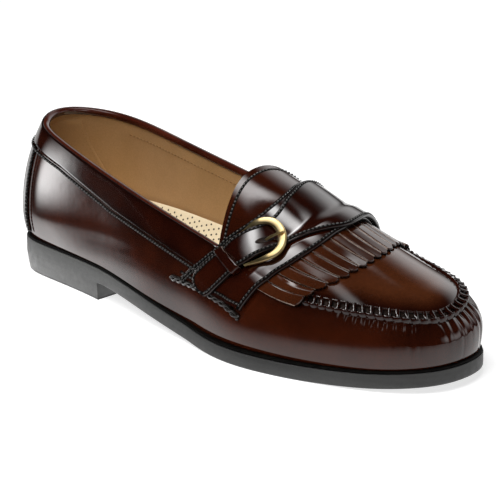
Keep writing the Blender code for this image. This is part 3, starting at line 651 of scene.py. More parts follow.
AMBER_LOW, AMBER_HIGH = (0.050, 0.0125, 0.0040), (0.105, 0.0300, 0.0095)


def leather(name, dark, warm, gloss=0.085):
    """Polished, hand-burnished leather: colour drifts from dark at the seams, partly painted shade, to warm
    on open panels.
    """
    look = Look(name, 0.34, Coat_Weight=1.0, Coat_Roughness=gloss, Coat_IOR=1.55, Specular_IOR_Level=0.0)
    drift = look.noise(38, 4.0)
    tone = look.ramp(drift, (0.30, dark), (0.72, warm))
    light = look.ramp(drift, (0.25, AMBER_LOW), (0.75, AMBER_HIGH))
    tone = look.mix("MIX", look.attribute("amber"), tone, light)
    shade = look.ramp(look.attribute("shade"), (0.0, 1.0), (1.0, 0.22))
    flecks = look.ramp(look.noise(1.6, 6.0), (0.35, 0.82), (0.65, 1.0))
    return look.made_with(
        Base_Color=look.times(tone, shade, flecks),
        Roughness=look.ramp(look.noise(9, 5.0), (0.3, 0.28), (0.7, 0.42)),
        Normal=look.bump(look.noise(5.0, 4.0), 0.05, look.bump(look.pebbles(0.55), 0.012)),
        Coat_Normal=look.bump(look.noise(6.0, 1.5), 0.028),
    )


def plain(name, roughness, dark, light, mottle, grain=None, light_at=0.8, **settings):
    """One mottled colour with a fine grain: mottle is (size, detail), and grain (size, detail, height)."""
    look = Look(name, roughness, **settings)
    if grain:
        size, detail, height = grain
        set_inputs(look.shader, Normal=look.bump(look.noise(size, detail), height))
    return look.made_with(Base_Color=look.ramp(look.noise(*mottle), (0.3, dark), (light_at, light)))


def soft_leather(name, roughness, dark, light, patches, flecks, pores, waves=0.0, **settings):
    """Unpolished leather with broad patches of two tones, and flecks of a size and a darkness."""
    look = Look(name, roughness, **settings)
    broad = look.ramp(look.noise(patches, 4.0), (0.3, dark), (0.7, light))
    fine = look.ramp(look.noise(flecks[0], 5.0), (0.3, flecks[1]), (0.7, 1.0))
    low = look.bump(look.noise(6, 4.0), waves) if waves else None
    grain = look.bump(look.pebbles(pores), 0.03, low)
    return look.made_with(Base_Color=look.times(broad, fine), Normal=grain)


def sole_grey(name, dark, light):
    look = Look(name, 0.5, Specular_IOR_Level=0.4)
    streaks = look.noise(7, 6.0, (0.12, 0.12, 1.6))
    tone = look.ramp(streaks, (0.3, (dark, dark, 0.98 * dark)), (0.7, (light, light, 0.98 * light)))
    scuffs = look.ramp(look.noise(0.9, 6.0), (0.35, 0.85), (0.7, 1.0))
    # The 'shade' attribute darkens the grey: painted shade.
    painted_shade = look.ramp(look.attribute("shade"), (0.0, 1.0), (1.0, 0.62))
    return look.made_with(
        Base_Color=look.times(tone, scuffs, painted_shade),
        Roughness=look.ramp(look.noise(3, 5.0), (0.3, 0.42), (0.7, 0.58)),
        Normal=look.bump(look.noise(0.4, 5.0), 0.03),
    )


def gold():
    look = Look("gold", 0.34, Metallic=1.0)
    return look.made_with(
        Base_Color=look.ramp(look.noise(4, 4.0), (0.3, (0.83, 0.60, 0.25)), (0.7, (0.93, 0.74, 0.40))),
        Roughness=look.ramp(look.noise(0.6, 6.0, (1, 1, 3)), (0.3, 0.28), (0.75, 0.40)),
        Normal=look.bump(look.noise(0.35, 4.0), 0.006),
    )


BODY = leather("burgundy", (0.010, 0.0012, 0.0004), (0.041, 0.0062, 0.0016))
TRIM = leather("burgundy_trim", (0.008, 0.0010, 0.0004), (0.029, 0.0047, 0.0013))
RED = leather("binding", (0.038, 0.006, 0.003), (0.080, 0.016, 0.008), 0.11)
INK = plain("edge_ink", 0.6, (0.004, 0.003, 0.003), (0.016, 0.009, 0.006), (2.5, 4.0), (0.5, 4.0, 0.03),
            Specular_IOR_Level=0.1)
# A light colour on cut edges of the kiltie and the keeper: a painted highlight along them.
EDGE_HIGHLIGHT = plain("painted_edge_highlight", 0.6, (0.22, 0.16, 0.13), (0.50, 0.40, 0.34), (2.0, 4.0), (0.4, 4.0, 0.03),
            Specular_IOR_Level=0.3)
THREAD = plain("thread", 0.4, (0.004, 0.0033, 0.003), (0.030, 0.025, 0.022), (1.2, 3.0), (0.25, 2.0, 0.05),
               Coat_Weight=1.0, Coat_Roughness=0.14)
TAN = plain("tan_thread", 0.6, (0.20, 0.105, 0.040), (0.34, 0.19, 0.08), (1.5, 3.0), (0.25, 2.0, 0.05),
            Specular_IOR_Level=0.3)
# The pinholes' dark colour: painted shade inside them.
PINHOLE_SHADE = plain("pinhole_painted_shade", 0.9, (0.03, 0.02, 0.012), (0.06, 0.04, 0.025), (1.0, 3.0), None, 0.7)
BLACK = plain("welt_black", 0.7, (0.0012, 0.0012, 0.0012), (0.004, 0.0035, 0.003), (3, 5.0), (0.5, 5.0, 0.03),
              0.7, Specular_IOR_Level=0.06)
LINING = soft_leather("tan_lining", 0.62, (0.425, 0.236, 0.090), (0.505, 0.292, 0.125), 30, (0.8, 0.86), 0.5,
                      0.12, Specular_IOR_Level=0.3, Sheen_Weight=0.08)
INSOLE = soft_leather("cream_insole", 0.55, (0.78, 0.64, 0.42), (0.86, 0.73, 0.50), 25, (0.6, 0.9), 0.6,
                      Specular_IOR_Level=0.35)
# The second grey is a darker copy for the heel's breast: painted shade under the waist.
GREY, BREAST_SHADE = sole_grey("sole_grey", 0.052, 0.078), sole_grey("breast_painted_shade", 0.014, 0.022)
GOLD = gold()


def paint(made, name, value):
    """A value at every point of a piece, for its material to read."""
    attribute = made.data.attributes.new(name, "FLOAT", "POINT")
    attribute.data.foreach_set("value", np.broadcast_to(value, len(made.data.vertices)).astype(np.float32))


def shade_by_distance(made, lines, reach, floor=0.0):
    """Painted shade over the burnished dark: an attribute, 1 at the given lines of points, that falls to
    floor away.
    """
    tree = tree_of(in_frame(np.concatenate(lines)))
    far = np.array([tree.find(v.co)[2] for v in made.data.vertices]) / MM
    paint(made, "shade", floor + (1 - floor) * np.exp(-((far / reach) ** 1.4)))


def burnish_and_shade_edges(made, grid):
    # Painted shade, over the burnished dark, along a piece's four edges.
    shade_by_distance(made, [grid[0], grid[-1], grid[:, 0], grid[:, -1]], 2.4)


# The upper and its lining

REAR, FRONT = np.linspace(-1, 0, 64), np.linspace(0, 1, 401)
ALONG = np.concatenate([REAR, FRONT[1:]])
THROAT = len(REAR) - 1
# The heel grip's reach across and along the wall
GRIP_TOP, GRIP_LOW, GRIP_FRONT, GRIP_SWEEP = 1.09, 1.86, -0.878, 0.132


def toe_run(along, side):
    """Distance along the rim from the toe's tip."""
    fine = np.linspace(0, 1, 1200)
    run = run_length(wall_point(fine, side))
    return np.interp(along, fine, run[-1] - run)


def gathers(along, across, points):
    """Pleats drawn in by the apron seam: soft troughs under the stitches that run out down the wall."""
    side = np.sign(across[0, 0])
    down = run_length(points[:, ::-1].swapaxes(0, 1)).T[:, ::-1]
    run = toe_run(along, side) / SEAM_PITCH
    number = np.round(run).astype(int)
    vary, reach = RANDOM.uniform(0.3, 1.3, PLEATS), RANDOM.uniform(8.0, 22.0, PLEATS)
    bend = RANDOM.uniform(-0.3, 0.3, PLEATS)[number % PLEATS]
    run = run + bend * smooth_step(down, 0, 12) * np.cos(math.pi * (run - number)) ** 2
    toe = smooth_step(along, 0.45, 0.95)
    fall = np.exp(-((down / (reach[number * 7 % PLEATS] * (0.6 + 0.5 * toe))) ** 2))
    trough = (0.5 + 0.5 * np.cos(2 * math.pi * run)) * vary[number % PLEATS] * fall
    crease = (0.5 + 0.5 * np.cos(4 * math.pi * run + vary[number % PLEATS])) * np.exp(-((down / 4.0) ** 2))
    deep = 0.10 * smooth_step(along, 0.14, 0.34) + 0.65 * smooth_step(along, 0.42, 0.62) + 0.25 * toe
    return -GATHER_DEPTH * deep * (trough + 0.05 * crease) * np.where(along > 0, 1, 0)


def gathered_wall(along, across):
    """The outer face of the upper's wall."""
    a, c = np.meshgrid(along, across, indexing="ij")
    points = form(a, c)
    return points + form_normal(a, c) * gathers(a, c, points)[..., None]


def shell(walls, plug, closed_toe):
    """The grids of a shell over the last, open at collar, throat and underneath. The walls hold the outer and
    inner faces of both sides, and the plug those of the top."""
    for i, top in enumerate(plug):
        lateral, medial = walls[0][i], walls[1][i]
        medial[0] = lateral[0]
        if closed_toe:
            medial[-1] = lateral[-1]
            top[-1] = lateral[-1, -1]
        top[:, 0], top[:, -1] = lateral[THROAT:, -1], medial[THROAT:, -1]
    grids = [*plug, np.stack([top[0] for top in plug])]
    for faces in walls:
        grids += [*faces, np.stack([face[:, 0] for face in faces])]
        grids.append(np.stack([face[: THROAT + 1, -1] for face in faces]))
    if not closed_toe:
        grids += [np.stack([face[-1] for face in faces]) for faces in (plug, *walls)]
    return grids


def make_upper():
    rows, inside = spread(1, 2, 42, (1,), 3.0, 0.25)[::-1], np.linspace(2, 1, 9)
    walls = [
        [gathered_wall(ALONG, side * rows), sheet(ALONG, side * inside, -LEATHER_WALL)]
        for side in SIDES
    ]
    for outer, inner in walls:
        inner[:, 0, 2] = outer[:, 0, 2]
    plug = [sheet(FRONT, spread(-1, 1, 41, (-1, 1)), height) for height in (0.0, -LEATHER_WALL)]
    made = piece("upper_leather", shell(walls, plug, True), [BODY], "upper")
    ahead = np.linspace(0.05, 1, 500)
    # Painted shade, over the burnished dark, along the apron seam's rim.
    shade_by_distance(made, [wall_point(ahead, side) for side in SIDES], 8.0)
    points = sheet(np.linspace(0.2, 1, 160), np.linspace(-0.97, 0.97, 81)).reshape(-1, 3)
    tree, from_rim = tree_of(in_frame(points)), rim_distance(points)
    found = [tree.find(v.co) for v in made.data.vertices]
    away, rim = np.array([f[2] for f in found]) / MM, from_rim[[f[1] for f in found]]
    paint(made, "amber", np.where(away < 3.0, smooth_step(rim, 2, 16), 0.10))


def make_lining():
    front, heights = np.linspace(0, 0.5, 31), (-LINING_OUT, -LINING_IN)
    along, rows = np.concatenate([REAR, front[1:]]), np.linspace(2, 1, 15)
    walls = [[sheet(along, side * rows, height) for height in heights] for side in SIDES]
    plug = [sheet(front, np.linspace(-1, 1, 41), height) for height in heights]
    piece("lining", shell(walls, plug, False), [LINING], None)


def make_heel_grip():
    """The second lining piece inside the heel, with its curved front edge."""
    down = np.linspace(0, 1, 25)[:, None]
    depth, front = GRIP_TOP + (GRIP_LOW - GRIP_TOP) * down, GRIP_FRONT + GRIP_SWEEP * down**1.35
    along = -1 + (front + 1) * np.linspace(0, 1, 41)
    base, normal = round_the_heel((along, -depth), (along, depth))
    top = base - normal * (LINING_IN + rounded(base, 0.6, 0.8, 0.3))[..., None]
    piece("heel_grip", slab(top, base - normal * (LINING_IN - 0.1)), [LINING], None)
    stitch_sides(top, -normal, EDGE_STITCH, 2.4, 0.0, TAN_SEWN, 0.7)


def make_lining_stitches():
    along = np.linspace(-0.72, -0.03, 120)
    for side in SIDES:
        out = form_normal(along, 1.16 * side)
        stitches(form(along, 1.16 * side) - out * LINING_IN, -out, 0.0, 2.6, 0.0, TAN_SEWN, 0.6)


def make_binding():
    """The rolled edge round the topline: a narrow section swept from one side of the throat to the other."""
    along = np.linspace(-1, 0, 150)[None]
    rim, normal = round_the_heel((along, -1.0), (along, 1.0))
    below, _ = round_the_heel((along, -1.04), (along, 1.04))
    rise = unit(rim - below)
    section = [(0.75, -2.2), (0.75, -0.4)]
    section += [(-0.95 + 1.7 * math.cos(t), 0.15 + math.sin(t)) for t in np.linspace(0, math.pi, 9)]
    section += [(-2.7, -0.5), (-2.7, -1.5), (-2.5, -2.2), (-2.1, -2.4), (-1.9, -1.8)]
    grid = np.concatenate([rim + normal * out + rise * up for out, up in section + section[:1]])
    caps = [fan(end, end.mean(0)) for end in (grid[:, 0], grid[:, -1])]
    piece("topline_binding", [grid, *caps], [RED], None)


# The sole

def paired_places(count):
    """Places along the outer and the inner edge of the sole, from heel to toe."""
    along = np.sin(np.linspace(-math.pi / 2, math.pi / 2, count))
    return column(along, True), column(along, False)


def outsole_top(x):
    """Height of the grey edge over the sole's underside. The welt shows above it, thinnest at the heel."""
    return OUTSOLE_THICK + 0.3 + 0.3 * (1 - smooth_step(x, 50, 140))


def make_outsole():
    lateral, medial = paired_places(171)
    foot = [(1.0, 0.0), (0.55, 0.12), (0.22, 0.4), (0.05, 0.9), (0.0, 1.8)]
    head = [(0.0, -0.3), (0.08, -0.1), (0.25, 0.0)]
    sides = []
    for place in (lateral, medial):
        rows = []
        free = smooth_step(EDGE_X(place), HEEL_LENGTH, HEEL_LENGTH + 5)
        for inset, height in foot:
            x, y = inset_point(place, inset * free)
            rows.append(np.stack([x, y, sole_under(x) + height], -1))
        for inset, height in head:
            x, y = inset_point(place, inset)
            rows.append(np.stack([x, y, sole_under(x) + outsole_top(x) + height], -1))
        x, y = inset_point(place, 2.2)
        rows.append(np.stack([x, y, sole_under(x) + OUTSOLE_THICK], -1))
        sides.append(np.stack(rows))
    caps = []
    for i, height in ((0, 0.0), (-1, OUTSOLE_THICK)):
        share = np.linspace(0, 1, 13)[:, None, None]
        cap = sides[0][i] * (1 - share) + sides[1][i] * share
        cap[..., 2] = sole_under(cap[..., 0]) + height
        cap[0], cap[-1] = sides[0][i], sides[1][i]
        caps.append(cap)
    made = piece("outsole_grey", [*sides, *caps], [GREY], "outsole", 30)
    x = np.array([v.co.x for v in made.data.vertices]) / MM
    # Painted shade: the grey edge darkens towards the forepart.
    paint(made, "shade", smooth_step(x, -40, 60))


def make_heel():
    sides = np.linspace(-1, 1, 121)
    breast = np.interp(HEEL_LENGTH - GAP, FINE_X[FINE <= TOE], FINE[FINE <= TOE])
    medial = FINE >= TOE
    breast_medial = np.interp(-(HEEL_LENGTH - GAP), -FINE_X[medial], FINE[medial]) - KNOTS[-1]
    places = np.interp(sides, [-1, 0, 1], [breast_medial, 0, breast])
    sheets = []
    for inset, share in ((HEEL_TAPER + 1.0, 0.0), (HEEL_TAPER + 0.45, 0.015), (HEEL_TAPER + 0.12, 0.05),
                         (HEEL_TAPER, 0.1), (0.7, 0.5), (0.1, 0.9), (0.0, 1.0)):
        x, y = inset_point(places, inset * (1 - 0.75 * np.abs(sides) ** 3))
        sheets.append(np.stack([x, y, (sole_under(x) - 0.02) * share], -1))
    half = len(sides) // 2
    caps = [np.stack([s[half::-1], s[half:]], 1) for s in (sheets[0], sheets[-1])]
    side = np.stack(sheets)
    breast = np.stack([side[:, 0], side[:, -1]], 1)
    # The breast face takes the darker grey: painted shade.
    piece("heel_block", [*caps, side, (breast, 1)], [GREY, BREAST_SHADE], "heel", 30)


def make_welt():
    places = np.interp(np.linspace(0, FINE_ARC[-1], 420, endpoint=False), FINE_ARC, FINE)
    profile = [(WELT_STEP + 0.3 * abs(t) ** 5, (t + 1) / 2) for t in np.linspace(-1, 1, 9)]
    inner = PROFILE["feather"](places) + 2.0
    top = OUTSOLE_THICK + WELT_THICK + GAP
    rows = []
    for inset, share in [*profile, (inner, 1.0), (inner, 0.0)]:
        x, y = inset_point(places, inset)
        low = outsole_top(x) + 0.03
        rows.append(np.stack([x, y, sole_under(x) + low + (top - low) * share], -1))
    grid = np.stack(rows + rows[:1])
    piece("welt_black", [np.concatenate([grid, grid[:, :1]], 1)], [BLACK], "welt", 45)


def insole_top(plan, across, width):
    """Heights of the insole's underside and top, cupped at the arch."""
    base = sole_under(plan[..., 0]) + OUTSOLE_THICK + GAP
    past = plan[..., 0] - ARCH_MIDDLE
    arch = np.exp(-((past / np.where(past < 0, ARCH_BEHIND, ARCH_AHEAD)) ** 2))
    cup = np.where(across > 0, SIDE_CUP + (ARCH_CUP - SIDE_CUP) * arch, SIDE_CUP) * np.abs(across) ** 3
    return base, base + INSOLE_THICK + cup * smooth_step(width, 0, 45)


def insole_plan(count, across):
    """Points across the insole from above, and its width at each row."""
    ends = []
    for place in paired_places(count):
        inset = PROFILE["feather"](place) + LINING_IN + INSOLE_CLEAR
        ends.append(np.stack(inset_point(place, inset), -1))
    share = (across + 1)[None, :, None] / 2
    plan = ends[0][:, None] * (1 - share) + ends[1][:, None] * share
    return plan, np.linalg.norm(ends[1] - ends[0], axis=1)[:, None]


def make_insole():
    across = np.linspace(-1, 1, 61)
    plan, width = insole_plan(121, across)
    base, top = insole_top(plan, across, width)
    under = np.concatenate([plan, base[..., None]], -1)
    over = np.concatenate([plan, top[..., None]], -1)
    over[..., 2] -= 0.8 * (1 - smooth_step(edge_distance(over), 0, 1.6))
    piece("insole_cream", slab(over, under), [INSOLE], "insole")
    make_pinholes(over)


def make_pinholes(over):
    """Staggered rows of small pricks through the insole's cover, dark with the painted shade inside them."""
    pitch, margin, radius, deep = 3.2, 1.5, 0.56, 0.2
    turn = full_turn(9)
    spine = run_length(over[:, over.shape[1] // 2])
    grids = []
    for row, at in enumerate(np.arange(36, 200, pitch * 0.87)):
        place = np.interp(at, spine, np.arange(len(spine)))
        i, share = int(place), place % 1
        line = over[i] * (1 - share) + over[i + 1] * share
        run = run_length(line)
        start = (run[-1] / 2 + (row % 2) * pitch / 2) % pitch
        for spot in np.arange(start, run[-1], pitch):
            if not margin < spot < run[-1] - margin:
                continue
            j = min(int(np.interp(spot, run, np.arange(len(run)))), len(run) - 2)
            centre = np.array([np.interp(spot, run, v) for v in line.T])
            side, ahead = unit(line[j + 1] - line[j]), unit(over[i + 1, j] - over[i, j])
            out = unit(np.cross(ahead, side))
            rim = centre + radius * (np.outer(np.cos(turn), ahead) + np.outer(np.sin(turn), side))
            middle = np.repeat(centre[None], len(turn), 0)
            top, low = [middle + out * 0.10, rim + out * 0.08], [rim - out * deep, middle - out * deep]
            grids.append(np.stack(top + low))
    piece("pinholes", grids, [PINHOLE_SHADE], None)


# The gathered seam round the apron

Lip = namedtuple("Lip", "place height")
LIPS = [
    Lip(-3.7, -0.6), Lip(-3.3, 0.15), Lip(-3.0, 0.75), Lip(-2.7, 1.15), Lip(-2.4, 1.30), Lip(-2.1, 1.15),
    Lip(-1.9, 0.7), Lip(-1.7, 0.25), Lip(-0.9, 0.20), Lip(0.0, 0.20), Lip(0.7, 0.20), Lip(1.1, 0.30),
    Lip(1.3, 0.8), Lip(1.6, 1.45), Lip(2.0, 1.85), Lip(2.5, 1.90), Lip(3.0, 1.35), Lip(3.5, 0.5),
    Lip(4.0, -0.6),
]
# The channel's rows take the dark edge ink: painted shade in the recess between the lips.
CHANNEL = slice(6, 13)  # the lips' rows that make the dark channel between them


def square_to(vectors, ahead):
    return unit(vectors - ahead * np.sum(vectors * ahead, -1, keepdims=True))


def apron_frames():
    """Points along the rim round the toe, with the ways up the plug and down the wall, the ways out of both,
    the stitch count from the toe's tip, and the seam's size."""
    along = np.linspace(SEAM_START + 0.01, 1, 700)
    line, foot = (
        np.concatenate([wall_point(along, -depth), wall_point(along, depth)[-2::-1]])
        for depth in (1.0, 1.09)
    )
    run, both = run_length(line), np.concatenate([along, along[-2::-1]])
    tip = run[len(along) - 1]
    line, down = resample(line, 0.45, foot - line)
    at = np.linspace(0, run[-1], len(line))
    ahead = ahead_of(line)
    down, inward = square_to(down, ahead), unit(np.cross([0.0, 0.0, 1.0], ahead))
    top = sheet(np.linspace(0.1, 1, 260), np.linspace(-0.99, 0.99, 81)).reshape(-1, 3)
    tree = tree_of(top * [1, 1, 0])
    up = []
    for point, way in zip(line, inward):
        target = point + 3.2 * way
        near = tree.find_n((target[0], target[1], 0), 4)
        weight = np.array([1 / (n[2] + 0.02) for n in near])
        target[2] = weight @ np.array([top[n[1]][2] for n in near]) / weight.sum()
        up.append(target - point)
    kernel = np.ones(15) / 15
    up = np.stack([np.convolve(np.pad(v, 7, "edge"), kernel, "valid") for v in np.array(up).T], -1)
    up = square_to(up, ahead)
    size = 0.15 + 0.85 * smooth_step(np.interp(at, run, both), SEAM_START + 0.03, SEAM_FULL + 0.02)
    outs = unit(np.cross(ahead, up)), unit(np.cross(down, ahead))
    return line, up, down, *outs, (at - tip) / SEAM_PITCH, size


def make_apron_seam():
    """Two lips with a channel between them, darkened by painted shade; thick stitches cross it halfway
    between whole phases.
    """
    line, up, down, out_up, out_down, phase, size = apron_frames()
    pinch = (1 - np.abs(np.sin(math.pi * phase))) ** 1.2
    rows = []
    for place, height in LIPS:
        share, lower = smooth_step(place, -1.5, 1.5), smooth_step(place, 1.2, 2.4)
        off = size * (place - 0.7 * lower * pinch)
        rise = size * height * (1 - 0.4 * lower * pinch * (height > 0))
        way = np.where(off[:, None] < 0, up, down)
        out = unit(out_up * (1 - share) + out_down * share)
        rows.append(line + way * np.abs(off)[:, None] + out * rise[:, None])
    grid = np.stack(rows)
    around = np.concatenate([grid, grid[:1]])
    caps = [fan(end, end.mean(0)) for end in (around[:, 0], around[:, -1])]
    low = np.stack([grid[-1], grid[0]])
    grids = [grid[: CHANNEL.start + 1], (grid[CHANNEL], 1), grid[CHANNEL.stop - 1 :], low, *caps]
    made = piece("apron_seam", grids, [BODY, INK], None, 70)
    # Painted shade darkens the seam, most towards its channel.
    shade_by_distance(made, [line], 2.6, 0.35)
    out = unit(out_up + out_down)
    for stitch in np.arange(math.ceil(phase[0]), math.floor(phase[-1])) + 0.5:
        i = np.argmin(np.abs(phase - stitch))
        lean = unit(line[min(i + 1, len(line) - 1)] - line[i - 1])
        sew_across(line[i], up[i], down[i], out[i], lean, size[i])


def sew_across(middle, up, down, out, lean, size):
    """One thick stitch from lip to lip."""
    span = np.linspace(0, 1, 7)
    places = (-2.75 + 5.1 * span) * size
    high = (1.25 + 0.5 * span - 0.5 * np.sin(math.pi * span)) * size
    path = middle + np.where((places < 0)[:, None], up, down) * np.abs(places)[:, None] + out * high[:, None]
    path = path + lean * ((span - 0.5) * RANDOM.uniform(0.4, 1.6) * size)[:, None]
    wide = RANDOM.uniform(1.9, 2.7) * size * (0.75 + 0.25 * np.cos(math.pi * (span - 0.4)))
    THICK_SEWN.extend(tube(path, out + 0 * path, wide, 1.3 * size, False, 8))


# Pieces laid on the upper

def edge_curves(table):
    """The rear and the front edge of a table, as functions of across."""
    across = [e.across for e in table]
    return open_curve(across, [e.rear for e in table]), open_curve(across, [e.front for e in table])


SADDLE_REAR, SADDLE_FRONT = edge_curves(SADDLE)
STRAP_REAR, STRAP_FRONT = edge_curves(STRAP)
STRIP_LIFT = 0.1  # of the heel's strips off the upper


def saddle_low(x, across):
    """Height of the saddle's underside, which climbs over the kiltie's root."""
    front = SADDLE_FRONT(across)
    rise = smooth_step(x, front - KILTIE_TUCK - 10, front - KILTIE_TUCK - 2)
    return LAYER_GAP + (KILTIE_THICK + LAYER_GAP) * rise


def cross_grid(across, rear, front, shares, rise=0.0):
    """A grid across the instep between two edges: along, across and x."""
    x = rear[:, None] + (front - rear)[:, None] * shares
    c = np.repeat(across[:, None], len(shares), axis=1)
    c = np.where(np.abs(c) > 1, np.sign(c) * (1 + (np.abs(c) - 1) * (1 - rise * shares)), c)
    return along_at(x, c), c, x


def laid_piece(name, a, c, low, thick, node):
    """A leather piece on the skin with rounded edges. Returns its full height everywhere, and the way out."""
    normal = form_normal(a, c)
    base = skin(a, c, low)
    top = base + normal * rounded(base, thick, 0.7)[..., None]
    burnish_and_shade_edges(piece(name, slab(top, base, 1), [TRIM, INK], node), top)
    return base + normal * thick, normal


def heel_strip(name, outer, inner, thick, radius, least, node):
    """A leather strip round the heel's back. Returns its top and the way out."""
    base, normal = round_the_heel(outer, inner)
    top = base + normal * (STRIP_LIFT + rounded(base, thick, radius, least))[..., None]
    made = piece(name, slab(top, base + normal * STRIP_LIFT, 1), [TRIM, INK], node)
    burnish_and_shade_edges(made, top)
    return top, normal


def make_collar_band():
    grids = []
    for side in SIDES:
        rows, levels = [], []
        for share in ends_crowded(21):
            depth = side * (1 + share * BAND[-1].share)
            stop = float(along_at(SADDLE_REAR(depth) + 6.0, depth))
            rows.append(np.linspace(-1, min(stop, -0.004), 140))
            levels.append(1 + share * np.interp(rows[-1], [d.along for d in BAND], [d.share for d in BAND]))
        grids.append((np.array(rows), side * np.array(levels)))
    top, normal = heel_strip("collar_strip", *grids, BAND_THICK + 0.3, 0.6, 0.4, "collar_band")
    stitches(top[-1] + normal[-1] * 1.15, normal[-1], 1.4)


def make_back_stay():
    reach = STAY_WIDTH / 2 / throat_arc(True)
    depth = np.linspace(1.0 + BAND[0].share, 1.97, 40)[:, None]
    along = reach * (1 - (1 - np.linspace(0, 1, 41)) ** 1.4) - 1
    ends = (along, -depth), (along, depth)
    top, normal = heel_strip("back_strip", *ends, STAY_THICK + 0.3, 0.8, 0.3, "back_stay")
    stitch_sides(top + normal, normal, EDGE_STITCH)


def make_saddle():
    across = spread(SADDLE[0].across, SADDLE[-1].across, 131, (SADDLE[0].across, -1, 1, SADDLE[-1].across))
    a, c, x = cross_grid(across, SADDLE_REAR(across), SADDLE_FRONT(across), ends_crowded(49), SADDLE_RISE)
    low = saddle_low(x, c) - 0.25
    top, out = laid_piece("saddle_leather", a, c, low, SADDLE_THICK, "saddle")
    stitch_sides(top, out, -EDGE_STITCH)
    low_part = c[:, 0] < -0.8
    stitches(top[low_part, 0], out[low_part, 0], -EDGE_STITCH - 1.6)
    stitches(top[0], out[0], EDGE_STITCH + 1.4)
    for side, name in ((-1, "outer"), (1, "inner")):
        make_chain_seam("saddle_seam_" + name, side)


Place = namedtuple("Place", "along across")
CHAIN = [Place(-0.150, 1.575), Place(-0.096, 1.540), Place(-0.040, 1.510), Place(0.056, 1.490),
         Place(0.118, 1.505), Place(0.185, 1.575)]
CHAIN_WAVE, CHAIN_REACH, CHAIN_CORD = 4.6, 1.0, 1.15


def make_chain_seam(name, side):
    """Two cords that wind round each other over a low ridge, along the saddle's lower end."""
    along = np.linspace(CHAIN[0].along, CHAIN[-1].along, 160)
    across = side * open_curve([c.along for c in CHAIN], [c.across for c in CHAIN])(along)
    line, out = resample(skin(along, across, 0.9), 0.35, form_normal(along, across))
    ahead = ahead_of(line)
    left = unit(np.cross(out, ahead))
    turn = run_length(line) / CHAIN_WAVE * math.pi
    grids = [(grid, 1) for grid in tube(line - out * 0.5, out, 3.4, 1.2, False, 10)]
    for sign in (-1, 1):
        path = line + left * (sign * CHAIN_REACH * np.sin(turn))[:, None]
        path = path + out * (0.35 + sign * 0.3 * np.cos(turn))[:, None]
        grids += tube(path, out, CHAIN_CORD, 0.9 * CHAIN_CORD, False, 10)
    piece(name, grids, [THREAD, INK], None, 70)


def saddle_top(at):
    """A point on the saddle's top, and the way out there."""
    x, across = np.array(at[0], float), np.array(at[1], float)
    a = along_at(x, across)
    return skin(a, across, saddle_low(x, across) + SADDLE_THICK), form_normal(a, across)


def strap_frame(rear_at, front_at):
    """Two points on the saddle, with the ways along, across and out of the strap between them."""
    (rear, out_rear), (front, out_front) = saddle_top(rear_at), saddle_top(front_at)
    run = unit(front - rear)
    out = out_rear + out_front
    out = unit(out - run * (out @ run))
    return rear, front, run, np.cross(out, run), out


def strap_low(a, c, x):
    """Height of the strap's underside above the last, with the hump over the buckle's bar."""
    bar, _, run, _, _ = strap_frame(BUCKLE_BAR_AT, BUCKLE_END_AT)
    past = (form(a, c) - bar) @ run
    behind = np.exp(-((past / STRAP_BAR_BEHIND) ** 2))
    ahead = 1 - smooth_step(past, STRAP_BAR_LEVEL, STRAP_BAR_AHEAD)
    return saddle_low(x, c) + SADDLE_THICK + 0.2 + STRAP_BAR_LIFT * np.where(past < 0, behind, ahead)


def make_strap():
    tip, end = STRAP[0].across, STRAP[-1].across
    across = spread(tip, end, 171, (tip, -1, BUCKLE_BAR_AT[1], 1, end))
    a, c, x = cross_grid(across, STRAP_REAR(across), STRAP_FRONT(across), ends_crowded(45))
    bar, _, run, side, _ = strap_frame(BUCKLE_BAR_AT, BUCKLE_END_AT)
    place = form(a, c) - bar
    past, aside = place @ run, place @ side
    top, out = laid_piece("strap_leather", a, c, strap_low(a, c, x), STRAP_THICK, "buckle_strap")
    stitch_sides(top, out, -EDGE_STITCH)
    stitches(top[0], out[0], EDGE_STITCH)
    make_prong_hole(top, past, aside)


HOLE_PAST, HOLE_LONG, HOLE_WIDE = 13.5, 8.0, 3.0
Level = namedtuple("Level", "size rise")
HOLE_LEVELS = [Level(1.25, -0.25), Level(1.2, 0.16), Level(1.0, 0.20), Level(0.8, 0.08), Level(0.05, 0.06),
               Level(0.05, -0.3), Level(1.25, -0.25)]


def make_prong_hole(top, past, aside):
    i, j = np.unravel_index(np.argmin((past - HOLE_PAST) ** 2 + aside**2), past.shape)
    ahead, side = unit(top[i + 3, j] - top[i - 3, j]), unit(top[i, j + 3] - top[i, j - 3])
    normal = unit(np.cross(ahead, side))
    normal = normal * np.sign(normal[2])
    turn = full_turn(25)
    oval = np.outer(np.cos(turn), ahead) * HOLE_LONG / 2 + np.outer(np.sin(turn), side) * HOLE_WIDE / 2
    rows = [top[i, j] + oval * level.size + normal * level.rise for level in HOLE_LEVELS]
    # A dark oval in edge ink over the prong hole: the inked cut edge, and painted shade inside the hole.
    piece("strap_hole", [np.stack(rows)], [INK], None)


STRIP_CURL = {0: 0.3, 1: 1.4, 2: 0.4}  # how far an edge of a strip's end turns up


